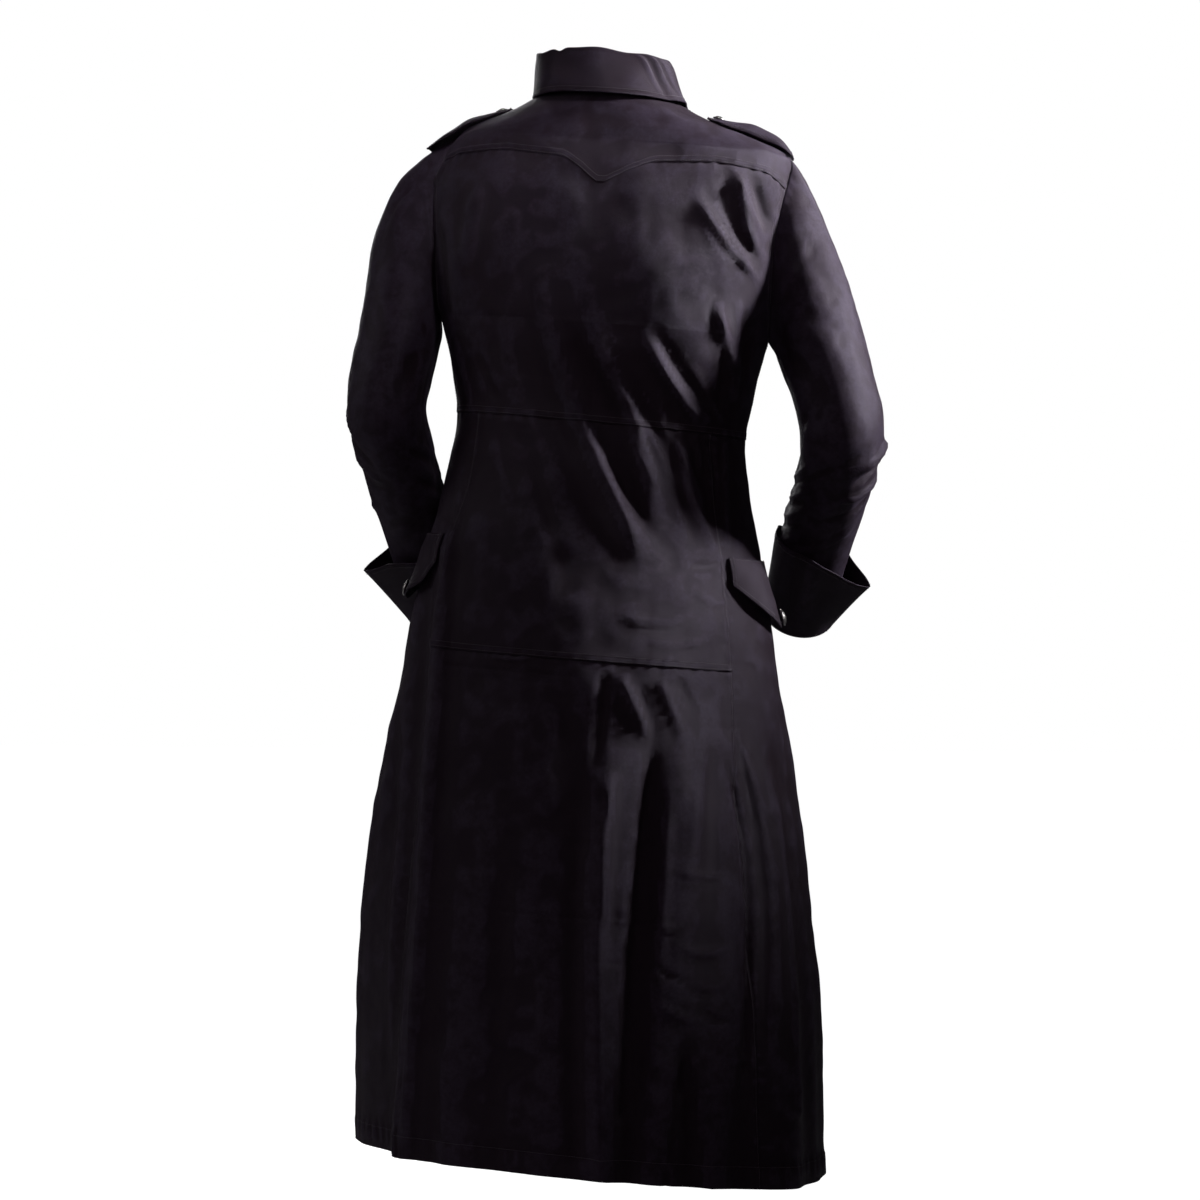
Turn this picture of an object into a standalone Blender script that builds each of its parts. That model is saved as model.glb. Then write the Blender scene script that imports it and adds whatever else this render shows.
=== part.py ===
# Long military coat in a worn pose, hollow, with the hands of its pose resting at the side pockets.
# Metres, +Z up. The coat faces -Y, and its left sleeve is on +X.
# The origin is the centre of the neck seam, where the coat hangs on its wearer.

import bmesh
import bpy
import numpy as np
from mathutils import Matrix, Vector

# Cloth and making
CLOTH = 0.0022            # thickness of the heavy twill wall
SEAM_PULL = 0.00015       # each panel stops this far short of its seam line
LAID_GAP = 0.0006         # a piece that lies on a panel stands this far off it
BUTTON_GAP = 0.0004       # and a button's shank this far off the cloth it is sewn to
COLUMNS = 28              # columns on each half of the body, centre back to centre front

# Levels down the body, as drops below the neck seam
SHOULDER_DROP = 0.060
ARMHOLE_DROP = 0.290
WAIST_DROP = 0.410
SEAT_DROP = 0.700
HEM_DROP = 1.329

# Columns where the skirt seams run, counted from the centre back
SIDE_BACK_COLUMN = 8
SIDE_FRONT_COLUMN = 20

# Share of a quarter turn that the armhole takes out of the back and out of the front
ARMHOLE_BACK = 0.20
ARMHOLE_FRONT = 0.25
ARMHOLE_ROUNDNESS = 0.60

BODY_COLUMNS = ("drop", "half_width", "back", "front", "shift", "square",
                "side_level", "back_level", "front_level", "tilt")
BODY_SECTIONS = (
    (0.000, 0.086, 0.072, 0.080, 0.000, 2.0, -0.003, 0.000, -0.028, 0.070),
    (0.020, 0.125, 0.083, 0.088, -0.006, 2.1, -0.026, -0.020, -0.048, 0.080),
    (0.040, 0.168, 0.093, 0.096, -0.013, 2.2, -0.043, -0.043, -0.068, 0.080),
    (0.060, 0.207, 0.101, 0.103, -0.018, 2.3, -0.062, -0.065, -0.088, 0.078),
    (0.080, 0.217, 0.107, 0.109, -0.012, 2.3, -0.084, -0.085, -0.104, 0.078),
    (0.130, 0.223, 0.117, 0.120, 0.000, 2.3, -0.130, -0.130, -0.140, 0.080),
    (0.200, 0.219, 0.122, 0.129, 0.004, 2.3, -0.200, -0.200, -0.200, 0.080),
    (0.290, 0.205, 0.113, 0.128, 0.007, 2.2, -0.290, -0.290, -0.290, 0.085),
    (0.360, 0.187, 0.099, 0.117, 0.009, 2.2, -0.360, -0.360, -0.360, 0.095),
    (0.410, 0.181, 0.094, 0.112, 0.012, 2.2, -0.410, -0.410, -0.410, 0.100),
    (0.470, 0.187, 0.103, 0.116, 0.014, 2.2, -0.470, -0.470, -0.470, 0.095),
    (0.580, 0.211, 0.130, 0.134, 0.019, 2.2, -0.580, -0.580, -0.580, 0.085),
    (0.700, 0.233, 0.150, 0.152, 0.023, 2.1, -0.700, -0.700, -0.700, 0.080),
    (0.830, 0.251, 0.163, 0.163, 0.027, 2.0, -0.830, -0.830, -0.830, 0.080),
    (1.000, 0.273, 0.180, 0.176, 0.029, 2.0, -1.000, -0.998, -1.000, 0.078),
    (1.130, 0.284, 0.190, 0.185, 0.027, 2.0, -1.129, -1.124, -1.129, 0.076),
    (1.329, 0.287, 0.199, 0.191, 0.025, 2.0, -1.325, -1.315, -1.323, 0.070),
)

# Each fold is a soft ridge, or a trough where its height is negative, along a bend through
# three places: across (x on the back and front, y on the sides) and level
FOLD_COLUMNS = ("face", "across_1", "level_1", "across_2", "level_2", "across_3", "level_3",
                "reach_1", "reach_3", "height", "fade_in", "fade_out")
FOLDS = (
    ("back", 0.079, -0.200, 0.026, -0.410, -0.083, -0.610, 0.020, 0.026, 0.011, 0.35, 0.20),
    ("back", 0.100, -0.300, 0.052, -0.430, -0.040, -0.600, 0.020, 0.024, -0.006, 0.35, 0.20),
    ("back", 0.033, -0.214, -0.032, -0.380, -0.078, -0.560, 0.017, 0.022, 0.007, 0.30, 0.25),
    ("back", 0.055, -0.260, -0.004, -0.390, -0.060, -0.560, 0.016, 0.020, -0.006, 0.30, 0.25),
    ("back", -0.050, -0.289, -0.086, -0.360, -0.132, -0.420, 0.016, 0.018, 0.006, 0.35, 0.20),
    ("back", -0.139, -0.255, -0.152, -0.311, -0.162, -0.365, 0.015, 0.015, 0.005, 0.30, 0.30),
    ("back", -0.164, -0.095, -0.177, -0.160, -0.197, -0.225, 0.016, 0.018, 0.008, 0.25, 0.30),
    ("back", -0.143, -0.110, -0.160, -0.165, -0.176, -0.225, 0.016, 0.018, -0.006, 0.30, 0.30),
    ("back", 0.150, -0.110, 0.158, -0.165, 0.172, -0.230, 0.020, 0.020, 0.005, 0.30, 0.30),
    ("back", -0.095, -0.431, -0.106, -0.480, -0.128, -0.545, 0.015, 0.018, 0.005, 0.25, 0.30),
    ("back", -0.028, -0.712, -0.050, -0.759, -0.070, -0.800, 0.014, 0.018, 0.007, 0.15, 0.40),
    ("back", -0.021, -0.780, -0.004, -0.980, -0.014, -1.340, 0.026, 0.040, 0.014, 0.25, 0.00),
    ("back", -0.070, -0.760, -0.062, -0.980, -0.042, -1.340, 0.020, 0.030, -0.015, 0.20, 0.00),
    ("back", -0.115, -0.740, -0.108, -0.930, -0.100, -1.180, 0.028, 0.040, 0.012, 0.25, 0.30),
    ("back", -0.146, -0.730, -0.184, -0.930, -0.176, -1.340, 0.022, 0.036, -0.018, 0.15, 0.00),
    ("back", -0.112, -1.130, -0.115, -1.240, -0.116, -1.340, 0.012, 0.036, -0.018, 0.30, 0.00),
    ("back", -0.209, -0.820, -0.224, -1.000, -0.238, -1.340, 0.022, 0.034, 0.011, 0.25, 0.00),
    ("back", 0.190, -0.520, 0.203, -0.800, 0.242, -1.340, 0.016, 0.024, 0.009, 0.15, 0.00),
    ("back", 0.222, -0.560, 0.234, -0.850, 0.272, -1.340, 0.018, 0.026, -0.010, 0.15, 0.00),
    ("back", 0.120, -0.900, 0.118, -1.100, 0.125, -1.340, 0.040, 0.060, -0.007, 0.40, 0.00),
    ("left", 0.060, -0.760, 0.072, -1.000, 0.080, -1.340, 0.030, 0.045, -0.010, 0.35, 0.00),
    ("left", 0.005, -0.740, 0.000, -1.000, -0.005, -1.340, 0.035, 0.050, 0.010, 0.35, 0.00),
    ("left", -0.080, -0.700, -0.095, -0.980, -0.105, -1.340, 0.028, 0.042, -0.012, 0.30, 0.00),
    ("right", 0.040, -0.760, 0.040, -1.000, 0.050, -1.340, 0.030, 0.045, -0.011, 0.35, 0.00),
    ("right", -0.020, -0.700, -0.035, -1.000, -0.045, -1.340, 0.032, 0.050, 0.011, 0.30, 0.00),
    ("right", -0.090, -0.740, -0.110, -1.000, -0.118, -1.340, 0.028, 0.040, -0.012, 0.30, 0.00),
    ("front", 0.150, -0.640, 0.168, -0.950, 0.180, -1.340, 0.030, 0.045, 0.012, 0.30, 0.00),
    ("front", 0.100, -0.560, 0.112, -0.900, 0.120, -1.340, 0.024, 0.040, -0.014, 0.30, 0.00),
    ("front", -0.090, -0.560, -0.105, -0.900, -0.118, -1.340, 0.026, 0.042, -0.014, 0.30, 0.00),
    ("front", -0.145, -0.640, -0.170, -0.950, -0.185, -1.340, 0.030, 0.045, 0.012, 0.30, 0.00),
    ("front", 0.150, -0.180, 0.110, -0.300, 0.060, -0.400, 0.022, 0.018, 0.007, 0.30, 0.25),
    ("front", -0.160, -0.190, -0.115, -0.310, -0.050, -0.405, 0.024, 0.018, 0.007, 0.30, 0.25),
    ("front", -0.120, -0.240, -0.090, -0.330, -0.040, -0.440, 0.018, 0.018, -0.005, 0.30, 0.25),
)

# Back yoke seam: a shallow point at the centre back, falling a little to the armholes
YOKE_SEAM = ((0.00, 0.122), (0.036, 0.101), (0.072, 0.086), (0.20, 0.080), (0.36, 0.086), (0.50, 0.104))

COLLAR_COLUMNS = ("half_width", "back", "front", "shift", "side_level", "back_level", "front_level")
STAND_SECTIONS = (
    (0.0860, 0.0720, 0.0800, 0.000, -0.0020, 0.0010, -0.0270),
    (0.0835, 0.0710, 0.0780, 0.004, 0.0220, 0.0240, -0.0050),
    (0.0800, 0.0690, 0.0750, 0.008, 0.0450, 0.0470, 0.0190),
)
FALL_SECTIONS = (
    (0.0795, 0.0685, 0.0745, 0.008, 0.0487, 0.0507, 0.0227),
    (0.0835, 0.0730, 0.0785, 0.008, 0.0475, 0.0500, 0.0215),
    (0.0865, 0.0765, 0.0815, 0.006, 0.0400, 0.0430, 0.0140),
    (0.0920, 0.0820, 0.0870, 0.003, 0.0180, 0.0190, -0.0130),
    (0.0985, 0.0880, 0.0930, 0.000, -0.0030, -0.0060, -0.0400),
)
COLLAR_TILT = 0.075
STAND_ROWS = (0.0, 1.0, 2.0)
FALL_ROWS = (0.0, 0.5, 1.0, 1.5, 2.0, 3.0, 4.0)
STAND_END = 0.985         # the stand stops here on each side, where 1 is the centre front
FALL_END = 0.930          # and the fall stops here

ARM_COLUMNS = ("x", "y", "z", "across", "depth")
ARM_SECTIONS = {
    "left": (
        (0.262, 0.014, -0.290, 0.052, 0.062),
        (0.277, 0.034, -0.385, 0.048, 0.055),
        (0.268, -0.006, -0.455, 0.047, 0.051),
        (0.257, -0.066, -0.525, 0.045, 0.048),
        (0.249, -0.114, -0.580, 0.044, 0.046),
        (0.240, -0.160, -0.638, 0.043, 0.045),
    ),
    "right": (
        (-0.267, 0.014, -0.325, 0.054, 0.062),
        (-0.291, 0.034, -0.415, 0.051, 0.056),
        (-0.279, -0.006, -0.480, 0.048, 0.052),
        (-0.257, -0.062, -0.541, 0.046, 0.049),
        (-0.241, -0.110, -0.592, 0.044, 0.046),
        (-0.226, -0.156, -0.644, 0.043, 0.045),
    ),
}
HEAD_ROWS = 7             # rows between the armhole seam and the first arm section
ARM_ROWS = 11             # rows below it
ARMHOLE_BACK_ROWS = (2, 6)
ARMHOLE_FRONT_ROWS = 8
HEAD_COLUMNS = ("reach", "out", "up")
HEADS = {                 # how far the sleeve head runs on from the shoulder, and which way
    "left": (0.320, 0.93, -0.37),
    "right": (0.200, 0.62, -0.78),
}
UNDERARM = (0.035, 0.45, -0.89)

CUFF_START = 0.755        # share of the arm below the head where the free edge of the cuff stands
CUFF_ROWS = 3
CUFF_SLIT_TURN = 0.45     # where the cuff is open, as an angle from its outer side to its back
CUFF_FLARE = 0.034        # how far the free corners stand off
CUFF_EASE = 0.006
CUFF_CORNER = 0.55

STRAP_HALF_WIDTH = 0.024
STRAP_ROWS = 8
STRAP_COLUMNS = ("side", "start", "length", "rise", "peak")
STRAPS = (
    ("left", 0.040, 0.116, 0.007, 0.55),
    ("right", 0.042, 0.104, 0.011, 0.60),
)

FLAP_TOP_DROP = 0.562
FLAP_END_DROP = 0.596
FLAP_POINT_DROP = 0.645
FLAP_FIRST = 0.305
FLAP_LAST = 0.560
FLAP_POINT = 0.485
FLAP_LIFT = 0.012
FLAP_ROWS = 4
FLAP_ACROSS = 8

PLACKET_HALF = 0.040      # half width of the placket as a share of the half body
PLACKET_TOP_DROP = 0.006
FRONT_BUTTON_DROPS = (0.055, 0.135, 0.215, 0.295, 0.375, 0.470)
FRONT_BUTTON_RADIUS = 0.011
FLAP_BUTTON_RADIUS = 0.0105
STRAP_BUTTON_RADIUS = 0.0075
BUTTON_SIDES = 12
BUTTON_PROFILE = ((0.28, 0.00), (0.28, 0.22), (0.96, 0.24), (1.00, 0.36), (0.82, 0.52), (0.45, 0.70))
BUTTON_CROWN = 0.76

STEP = 0.002              # step of the slopes that give the normals


def through(keys, values, at):
    """Smooth curve through values at keys, with no overshoot between them and straight beyond."""
    keys = np.asarray(keys, float)
    values = np.asarray(values, float)
    asked = np.asarray(at, float)
    at = np.clip(asked, keys[0], keys[-1])
    gaps = np.diff(keys)
    rises = np.diff(values) / gaps
    slopes = np.empty(len(keys))
    slopes[0] = rises[0]
    slopes[-1] = rises[-1]
    product = rises[:-1] * rises[1:]
    total = rises[:-1] + rises[1:]
    slopes[1:-1] = np.where(product > 0.0, 2.0 * product / np.where(product > 0.0, total, 1.0), 0.0)
    cell = np.clip(np.searchsorted(keys, at, side="right") - 1, 0, len(gaps) - 1)
    share = (at - keys[cell]) / gaps[cell]
    square = share * share
    cube = square * share
    start = (2.0 * cube - 3.0 * square + 1.0) * values[cell]
    start += (cube - 2.0 * square + share) * gaps[cell] * slopes[cell]
    end = (3.0 * square - 2.0 * cube) * values[cell + 1]
    end += (cube - square) * gaps[cell] * slopes[cell + 1]
    beyond = np.minimum(asked - keys[0], 0.0) * slopes[0] + np.maximum(asked - keys[-1], 0.0) * slopes[-1]
    return start + end + beyond


def soft_step(share):
    share = np.clip(share, 0.0, 1.0)
    return share * share * (3.0 - 2.0 * share)


def unit(vectors):
    return vectors / np.linalg.norm(vectors, axis=-1, keepdims=True)


def column_of(rows, names, name):
    return [row[names.index(name)] for row in rows]


def body_value(name, drop):
    drops = column_of(BODY_SECTIONS, BODY_COLUMNS, "drop")
    return through(drops, column_of(BODY_SECTIONS, BODY_COLUMNS, name), drop)


def body_base(around, drop):
    """Body without folds: around is 0 at the centre back, 0.5 at the left side, 1 at the front."""
    around, drop = np.broadcast_arrays(np.asarray(around, float), np.asarray(drop, float))
    power = 2.0 / body_value("square", drop)
    side = np.sin(np.pi * around)
    rear = np.cos(np.pi * around)
    depth = np.where(rear > 0.0, body_value("back", drop), body_value("front", drop))
    centre = body_value("shift", drop)
    x = centre + body_value("half_width", drop) * np.sign(side) * np.abs(side) ** power
    y = depth * np.sign(rear) * np.abs(rear) ** power
    side_level = body_value("side_level", drop)
    end_level = np.where(rear > 0.0, body_value("back_level", drop), body_value("front_level", drop))
    z = side_level + (end_level - side_level) * rear * rear
    z = z + body_value("tilt", drop) * (x - centre)
    return np.stack([x, y, z], axis=-1)


def slopes_to_normals(surface, first, second):
    across = surface(first + STEP, second) - surface(first - STEP, second)
    down = surface(first, second + STEP) - surface(first, second - STEP)
    return unit(np.cross(across, down))


def bend_distance(across, level, fold):
    """Distance from each place to a fold's bend, and how far along it lies."""
    begin = np.array([fold["across_1"], fold["level_1"]])
    middle = np.array([fold["across_2"], fold["level_2"]])
    end = np.array([fold["across_3"], fold["level_3"]])
    handle = 2.0 * middle - 0.5 * (begin + end)
    shares = np.linspace(0.0, 1.0, 13)[:, None]
    bend = (1 - shares) ** 2 * begin + 2 * shares * (1 - shares) * handle + shares ** 2 * end
    place = np.stack([across, level], axis=-1)[..., None, :]
    start = bend[:-1]
    run = bend[1:] - start
    along = np.clip(((place - start) * run).sum(-1) / (run * run).sum(-1), 0.0, 1.0)
    away = np.linalg.norm(place - start - along[..., None] * run, axis=-1)
    nearest = away.argmin(axis=-1)
    distance = np.take_along_axis(away, nearest[..., None], -1)[..., 0]
    reached = np.take_along_axis(along, nearest[..., None], -1)[..., 0]
    return distance, (nearest + reached) / (len(shares) - 1)


def fold_height(points, normals):
    total = np.zeros(points.shape[:-1])
    facing = {"back": normals[..., 1], "front": -normals[..., 1],
              "left": normals[..., 0], "right": -normals[..., 0]}
    for row in FOLDS:
        fold = dict(zip(FOLD_COLUMNS, row))
        across = points[..., 0] if fold["face"] in ("back", "front") else points[..., 1]
        distance, along = bend_distance(across, points[..., 2], fold)
        reach = fold["reach_1"] + (fold["reach_3"] - fold["reach_1"]) * along
        bell = 0.5 + 0.5 * np.cos(np.pi * np.clip(distance / reach, 0.0, 1.0))
        if fold["fade_in"] > 0.0:
            bell = bell * soft_step(along / fold["fade_in"])
        if fold["fade_out"] > 0.0:
            bell = bell * soft_step((1.0 - along) / fold["fade_out"])
        total = total + fold["height"] * bell * soft_step(facing[fold["face"]] / 0.4)
    return total


def body_surface(around, drop):
    base = body_base(around, drop)
    normals = slopes_to_normals(body_base, around, drop)
    return base + normals * fold_height(base, normals)[..., None]


def armhole_share(drop, share):
    height = np.clip((drop - SHOULDER_DROP) / (ARMHOLE_DROP - SHOULDER_DROP), 0.0, 1.0)
    return share * np.sin(np.pi * height) ** ARMHOLE_ROUNDNESS


def around_of(column, drop):
    """Turn a panel column, 0 at the centre back and 1 at the front, into a place past the armhole."""
    size = np.abs(column)
    back = size * (1.0 - armhole_share(drop, ARMHOLE_BACK))
    front = 1.0 - (1.0 - size) * (1.0 - armhole_share(drop, ARMHOLE_FRONT))
    return np.sign(column), back, front


def body_patch(columns, drops, half):
    """Points and normals of a patch, on the back half or the front half of the body."""
    sign, back, front = around_of(columns, drops)
    around = sign * (back if half == "back" else front)
    return body_surface(around, drops), slopes_to_normals(body_surface, around, drops)


def yoke_seam(column):
    places, drops = zip(*YOKE_SEAM)
    return np.interp(np.abs(column), places, drops)


def runs(*stops_and_counts):
    """Rows from stop to stop: runs(a, 3, b, 2, c) has three rows from a to b and two on to c."""
    stops = np.broadcast_arrays(*stops_and_counts[0::2])
    rows = []
    for start, end, count in zip(stops[:-1], stops[1:], stops_and_counts[1::2]):
        for step in range(count):
            rows.append(start + (end - start) * step / count)
    rows.append(stops[-1])
    return np.array(rows)


def pull_edges(points, sides="tblr"):
    """Stop a panel short of its seams, on the named sides: top, bottom, left, right."""
    pulled = points.copy()
    if "t" in sides:
        pulled[0] += SEAM_PULL * unit(points[1] - points[0])
    if "b" in sides:
        pulled[-1] += SEAM_PULL * unit(points[-2] - points[-1])
    if "l" in sides:
        pulled[:, 0] += SEAM_PULL * unit(points[:, 1] - points[:, 0])
    if "r" in sides:
        pulled[:, -1] += SEAM_PULL * unit(points[:, -2] - points[:, -1])
    return pulled


def add_object(name, mesh, material):
    mesh.materials.append(material)
    item = bpy.data.objects.new(name, mesh)
    bpy.context.collection.objects.link(item)
    return item


def cloth_wall(name, outer, normals, material, tube=False, wall=CLOTH):
    """Closed wall of cloth between the outer points and the same points moved in."""
    rows, columns = outer.shape[:2]
    inner = outer - wall * normals
    vertices = np.concatenate([outer.reshape(-1, 3), inner.reshape(-1, 3)])
    count = rows * columns
    number = np.arange(count).reshape(rows, columns)
    across = columns if tube else columns - 1
    faces = []
    for row in range(rows - 1):
        for column in range(across):
            after = (column + 1) % columns
            a, b = number[row, column], number[row, after]
            c, d = number[row + 1, after], number[row + 1, column]
            faces += [(a, d, c), (a, c, b)]
            faces += [(count + a, count + c, count + d), (count + a, count + b, count + c)]

    def rim(low, high, forward):
        corner = [(low, high, count + high), (low, count + high, count + low)]
        return corner if forward else [face[::-1] for face in corner]

    for column in range(across):
        after = (column + 1) % columns
        faces += rim(number[0, column], number[0, after], True)
        faces += rim(number[-1, column], number[-1, after], False)
    if not tube:
        for row in range(rows - 1):
            faces += rim(number[row, 0], number[row + 1, 0], False)
            faces += rim(number[row, -1], number[row + 1, -1], True)
    corners = vertices[np.array(faces)]
    volume = (corners[:, 0] * np.cross(corners[:, 1], corners[:, 2])).sum()
    if volume < 0.0:
        faces = [face[::-1] for face in faces]
    mesh = bpy.data.meshes.new(name)
    mesh.from_pydata(vertices.tolist(), [], [tuple(int(i) for i in face) for face in faces])
    mesh.shade_smooth()
    return add_object(name, mesh, material)


def body_panel(name, half, first, last, drops_of, material, sides="tblr"):
    """One panel of the body between two columns; drops_of gives its rows at each column."""
    columns = np.arange(first, last + 1) / COLUMNS
    drops = drops_of(columns)
    columns = np.broadcast_to(columns, drops.shape)
    points, normals = body_patch(columns, drops, half)
    points = pull_edges(points, sides)
    cloth_wall(name, points, normals, material)
    return points, normals


def yoke_rows(columns):
    return runs(0.0 * columns, 4, SHOULDER_DROP, ARMHOLE_BACK_ROWS[0], yoke_seam(columns))


def bodice_rows(columns):
    return runs(yoke_seam(columns), ARMHOLE_BACK_ROWS[1], ARMHOLE_DROP, 4, WAIST_DROP)


def front_rows(columns):
    return runs(0.0 * columns, 4, SHOULDER_DROP, ARMHOLE_FRONT_ROWS, ARMHOLE_DROP, 4, WAIST_DROP)


def hip_rows(columns):
    return runs(WAIST_DROP + 0.0 * columns, 7, SEAT_DROP)


def skirt_rows(columns):
    return runs(SEAT_DROP + 0.0 * columns, 10, HEM_DROP)


def long_rows(columns):
    return runs(WAIST_DROP + 0.0 * columns, 7, SEAT_DROP, 10, HEM_DROP)


def build_body(cloth):
    half = COLUMNS // 2
    body_panel("back_yoke", "back", -half, half, yoke_rows, cloth)
    body_panel("back_bodice", "back", -half, half, bodice_rows, cloth)
    body_panel("back_hip", "back", -SIDE_BACK_COLUMN, SIDE_BACK_COLUMN, hip_rows, cloth)
    body_panel("back_skirt", "back", -SIDE_BACK_COLUMN, SIDE_BACK_COLUMN, skirt_rows, cloth)
    sides = {}
    for side, sign in (("left", 1), ("right", -1)):
        ends = sorted((sign * half, sign * COLUMNS))
        body_panel("front_bodice_" + side, "front", *ends, front_rows, cloth)
        ends = sorted((sign * SIDE_BACK_COLUMN, sign * SIDE_FRONT_COLUMN))
        sides[side] = body_panel("side_skirt_" + side, "back", *ends, long_rows, cloth)
        ends = sorted((sign * SIDE_FRONT_COLUMN, sign * COLUMNS))
        body_panel("front_skirt_" + side, "front", *ends, long_rows, cloth)
    return sides


def collar_surface(sections, around, row):
    keys = np.arange(len(sections), dtype=float)
    value = {}
    for name in COLLAR_COLUMNS:
        value[name] = through(keys, column_of(sections, COLLAR_COLUMNS, name), row)
    side = np.sin(np.pi * around)
    rear = np.cos(np.pi * around)
    x = value["half_width"] * side
    y = np.where(rear > 0.0, value["back"], value["front"]) * rear
    end_level = np.where(rear > 0.0, value["back_level"], value["front_level"])
    z = value["side_level"] + (end_level - value["side_level"]) * rear * rear + COLLAR_TILT * x
    return np.stack([x + value["shift"], y, z], axis=-1)


def build_collar(cloth):
    for name, sections, end, rows in (("collar_stand", STAND_SECTIONS, STAND_END, STAND_ROWS),
                                      ("collar_fall", FALL_SECTIONS, FALL_END, FALL_ROWS)):
        around = np.linspace(-end, end, 29)[None, :]
        row = np.array(rows)[:, None]

        def surface(first, second):
            return collar_surface(sections, first, second)

        around, row = np.broadcast_arrays(around, row)
        outward = -slopes_to_normals(surface, around, row)
        if name == "collar_fall":
            outward = -outward
        cloth_wall(name, surface(around, row), outward, cloth)


def arm_ring(side, place, turn):
    """A ring of the sleeve below its head: place runs from 0 to 1, turn from the outer side back."""
    sections = ARM_SECTIONS[side]
    keys = np.linspace(0.0, 1.0, len(sections))
    place, turn = np.broadcast_arrays(np.asarray(place, float), np.asarray(turn, float))

    def centre(at):
        return np.stack([through(keys, column_of(sections, ARM_COLUMNS, n), at) for n in "xyz"], -1)

    inside = np.clip(place, 0.01, 0.99)
    down = unit(centre(inside + 0.01) - centre(inside - 0.01))
    outward = np.zeros_like(down)
    outward[..., 0] = 1.0 if side == "left" else -1.0
    outward = unit(outward - (outward * down).sum(-1, keepdims=True) * down)
    back = np.cross(down, outward) * (1.0 if side == "right" else -1.0)
    across = through(keys, column_of(sections, ARM_COLUMNS, "across"), place)
    depth = through(keys, column_of(sections, ARM_COLUMNS, "depth"), place)
    ring = centre(place)
    ring = ring + (across * np.cos(turn))[..., None] * outward
    return ring + (depth * np.sin(turn))[..., None] * back


def armhole_loop(side):
    """Armhole seam points from the shoulder down the back edge and up the front edge."""
    sign = 1.0 if side == "left" else -1.0
    half = np.array([0.5])
    back = runs(SHOULDER_DROP + 0.0 * half, ARMHOLE_BACK_ROWS[0], yoke_seam(half),
                ARMHOLE_BACK_ROWS[1], ARMHOLE_DROP)[:, 0]
    front = runs(SHOULDER_DROP + 0.0 * half, ARMHOLE_FRONT_ROWS, ARMHOLE_DROP)[:, 0]
    back_points = body_patch(np.full(len(back), 0.5 * sign), back, "back")
    front_points = body_patch(np.full(len(front), 0.5 * sign), front, "front")
    points = np.concatenate([back_points[0], front_points[0][-2:0:-1]])
    normals = np.concatenate([back_points[1], front_points[1][-2:0:-1]])
    return points, normals


def sleeve_grid(side):
    """Outer points of the whole sleeve, from its armhole seam to the wrist."""
    seam, seam_normals = armhole_loop(side)
    columns = len(seam)
    turns = 2.0 * np.pi * np.arange(columns) / columns
    sign = 1.0 if side == "left" else -1.0
    first = arm_ring(side, 0.0, turns)
    second = arm_ring(side, 0.02, turns)
    under = 0.5 - 0.5 * np.cos(turns)
    top = dict(zip(HEAD_COLUMNS, HEADS[side]))
    low = dict(zip(HEAD_COLUMNS, UNDERARM))
    out_top = np.array([sign * top["out"], 0.0, top["up"]])
    out_under = np.array([sign * low["out"], 0.0, low["up"]])
    heading = unit(out_top * (1.0 - under)[:, None] + out_under * under[:, None]
                   + 0.25 * seam_normals * np.array([0.0, 1.0, 0.0]))
    reach = top["reach"] + (low["reach"] - top["reach"]) * under
    arrival = unit(second - first)
    seam = seam + 2.0 * SEAM_PULL * heading
    rows = []
    for share in np.linspace(0.0, 1.0, HEAD_ROWS + 1)[:-1]:
        row = (2 * share ** 3 - 3 * share ** 2 + 1) * seam + (3 * share ** 2 - 2 * share ** 3) * first
        row = row + (share ** 3 - 2 * share ** 2 + share) * reach[:, None] * heading
        row = row + (share ** 3 - share ** 2) * reach[:, None] * arrival
        rows.append(row)
    for place in np.linspace(0.0, 1.0, ARM_ROWS + 1):
        rows.append(arm_ring(side, place, turns))
    return np.array(rows)


def grid_normals(points, side):
    """Outward normals of a tube grid, from its neighbours round and along."""
    round_step = np.roll(points, -1, axis=1) - np.roll(points, 1, axis=1)
    along = np.empty_like(points)
    along[1:-1] = points[2:] - points[:-2]
    along[0] = points[1] - points[0]
    along[-1] = points[-1] - points[-2]
    normals = unit(np.cross(round_step, along))
    return normals if side == "right" else -normals


def build_sleeves(cloth):
    for side in ("left", "right"):
        grid = sleeve_grid(side)
        normals = grid_normals(grid, side)
        seam_normals = armhole_loop(side)[1]
        turns = 2.0 * np.pi * np.arange(len(seam_normals)) / len(seam_normals)
        top_share = soft_step(0.5 + 0.5 * np.cos(turns))[:, None]
        normals[0] = unit(top_share * seam_normals + (1.0 - top_share) * normals[0])
        cloth_wall("sleeve_" + side, grid, normals, cloth, tube=True)
        build_cuff(side, cloth)


def build_cuff(side, cloth):
    count = 17
    opening = 0.03
    turns = CUFF_SLIT_TURN + opening + np.linspace(0.0, 2.0 * np.pi - 2.0 * opening, count)
    places = np.linspace(CUFF_START, 0.998, CUFF_ROWS + 1)[:, None]
    turns, places = np.broadcast_arrays(turns[None, :], places)
    sign = 1.0 if side == "right" else -1.0

    def surface(turn, place):
        return arm_ring(side, place, turn)

    normals = sign * slopes_to_normals(surface, turns, places)
    share = (places[-1:] - places) / (places[-1] - places[0])
    slit = np.minimum(turns - CUFF_SLIT_TURN, CUFF_SLIT_TURN + 2.0 * np.pi - turns)
    corner = np.exp(-(slit / CUFF_CORNER) ** 2)
    lift = LAID_GAP + CLOTH + share * (CUFF_EASE + CUFF_FLARE * corner)
    cloth_wall("cuff_" + side, surface(turns, places) + normals * lift[..., None], normals, cloth)


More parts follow.
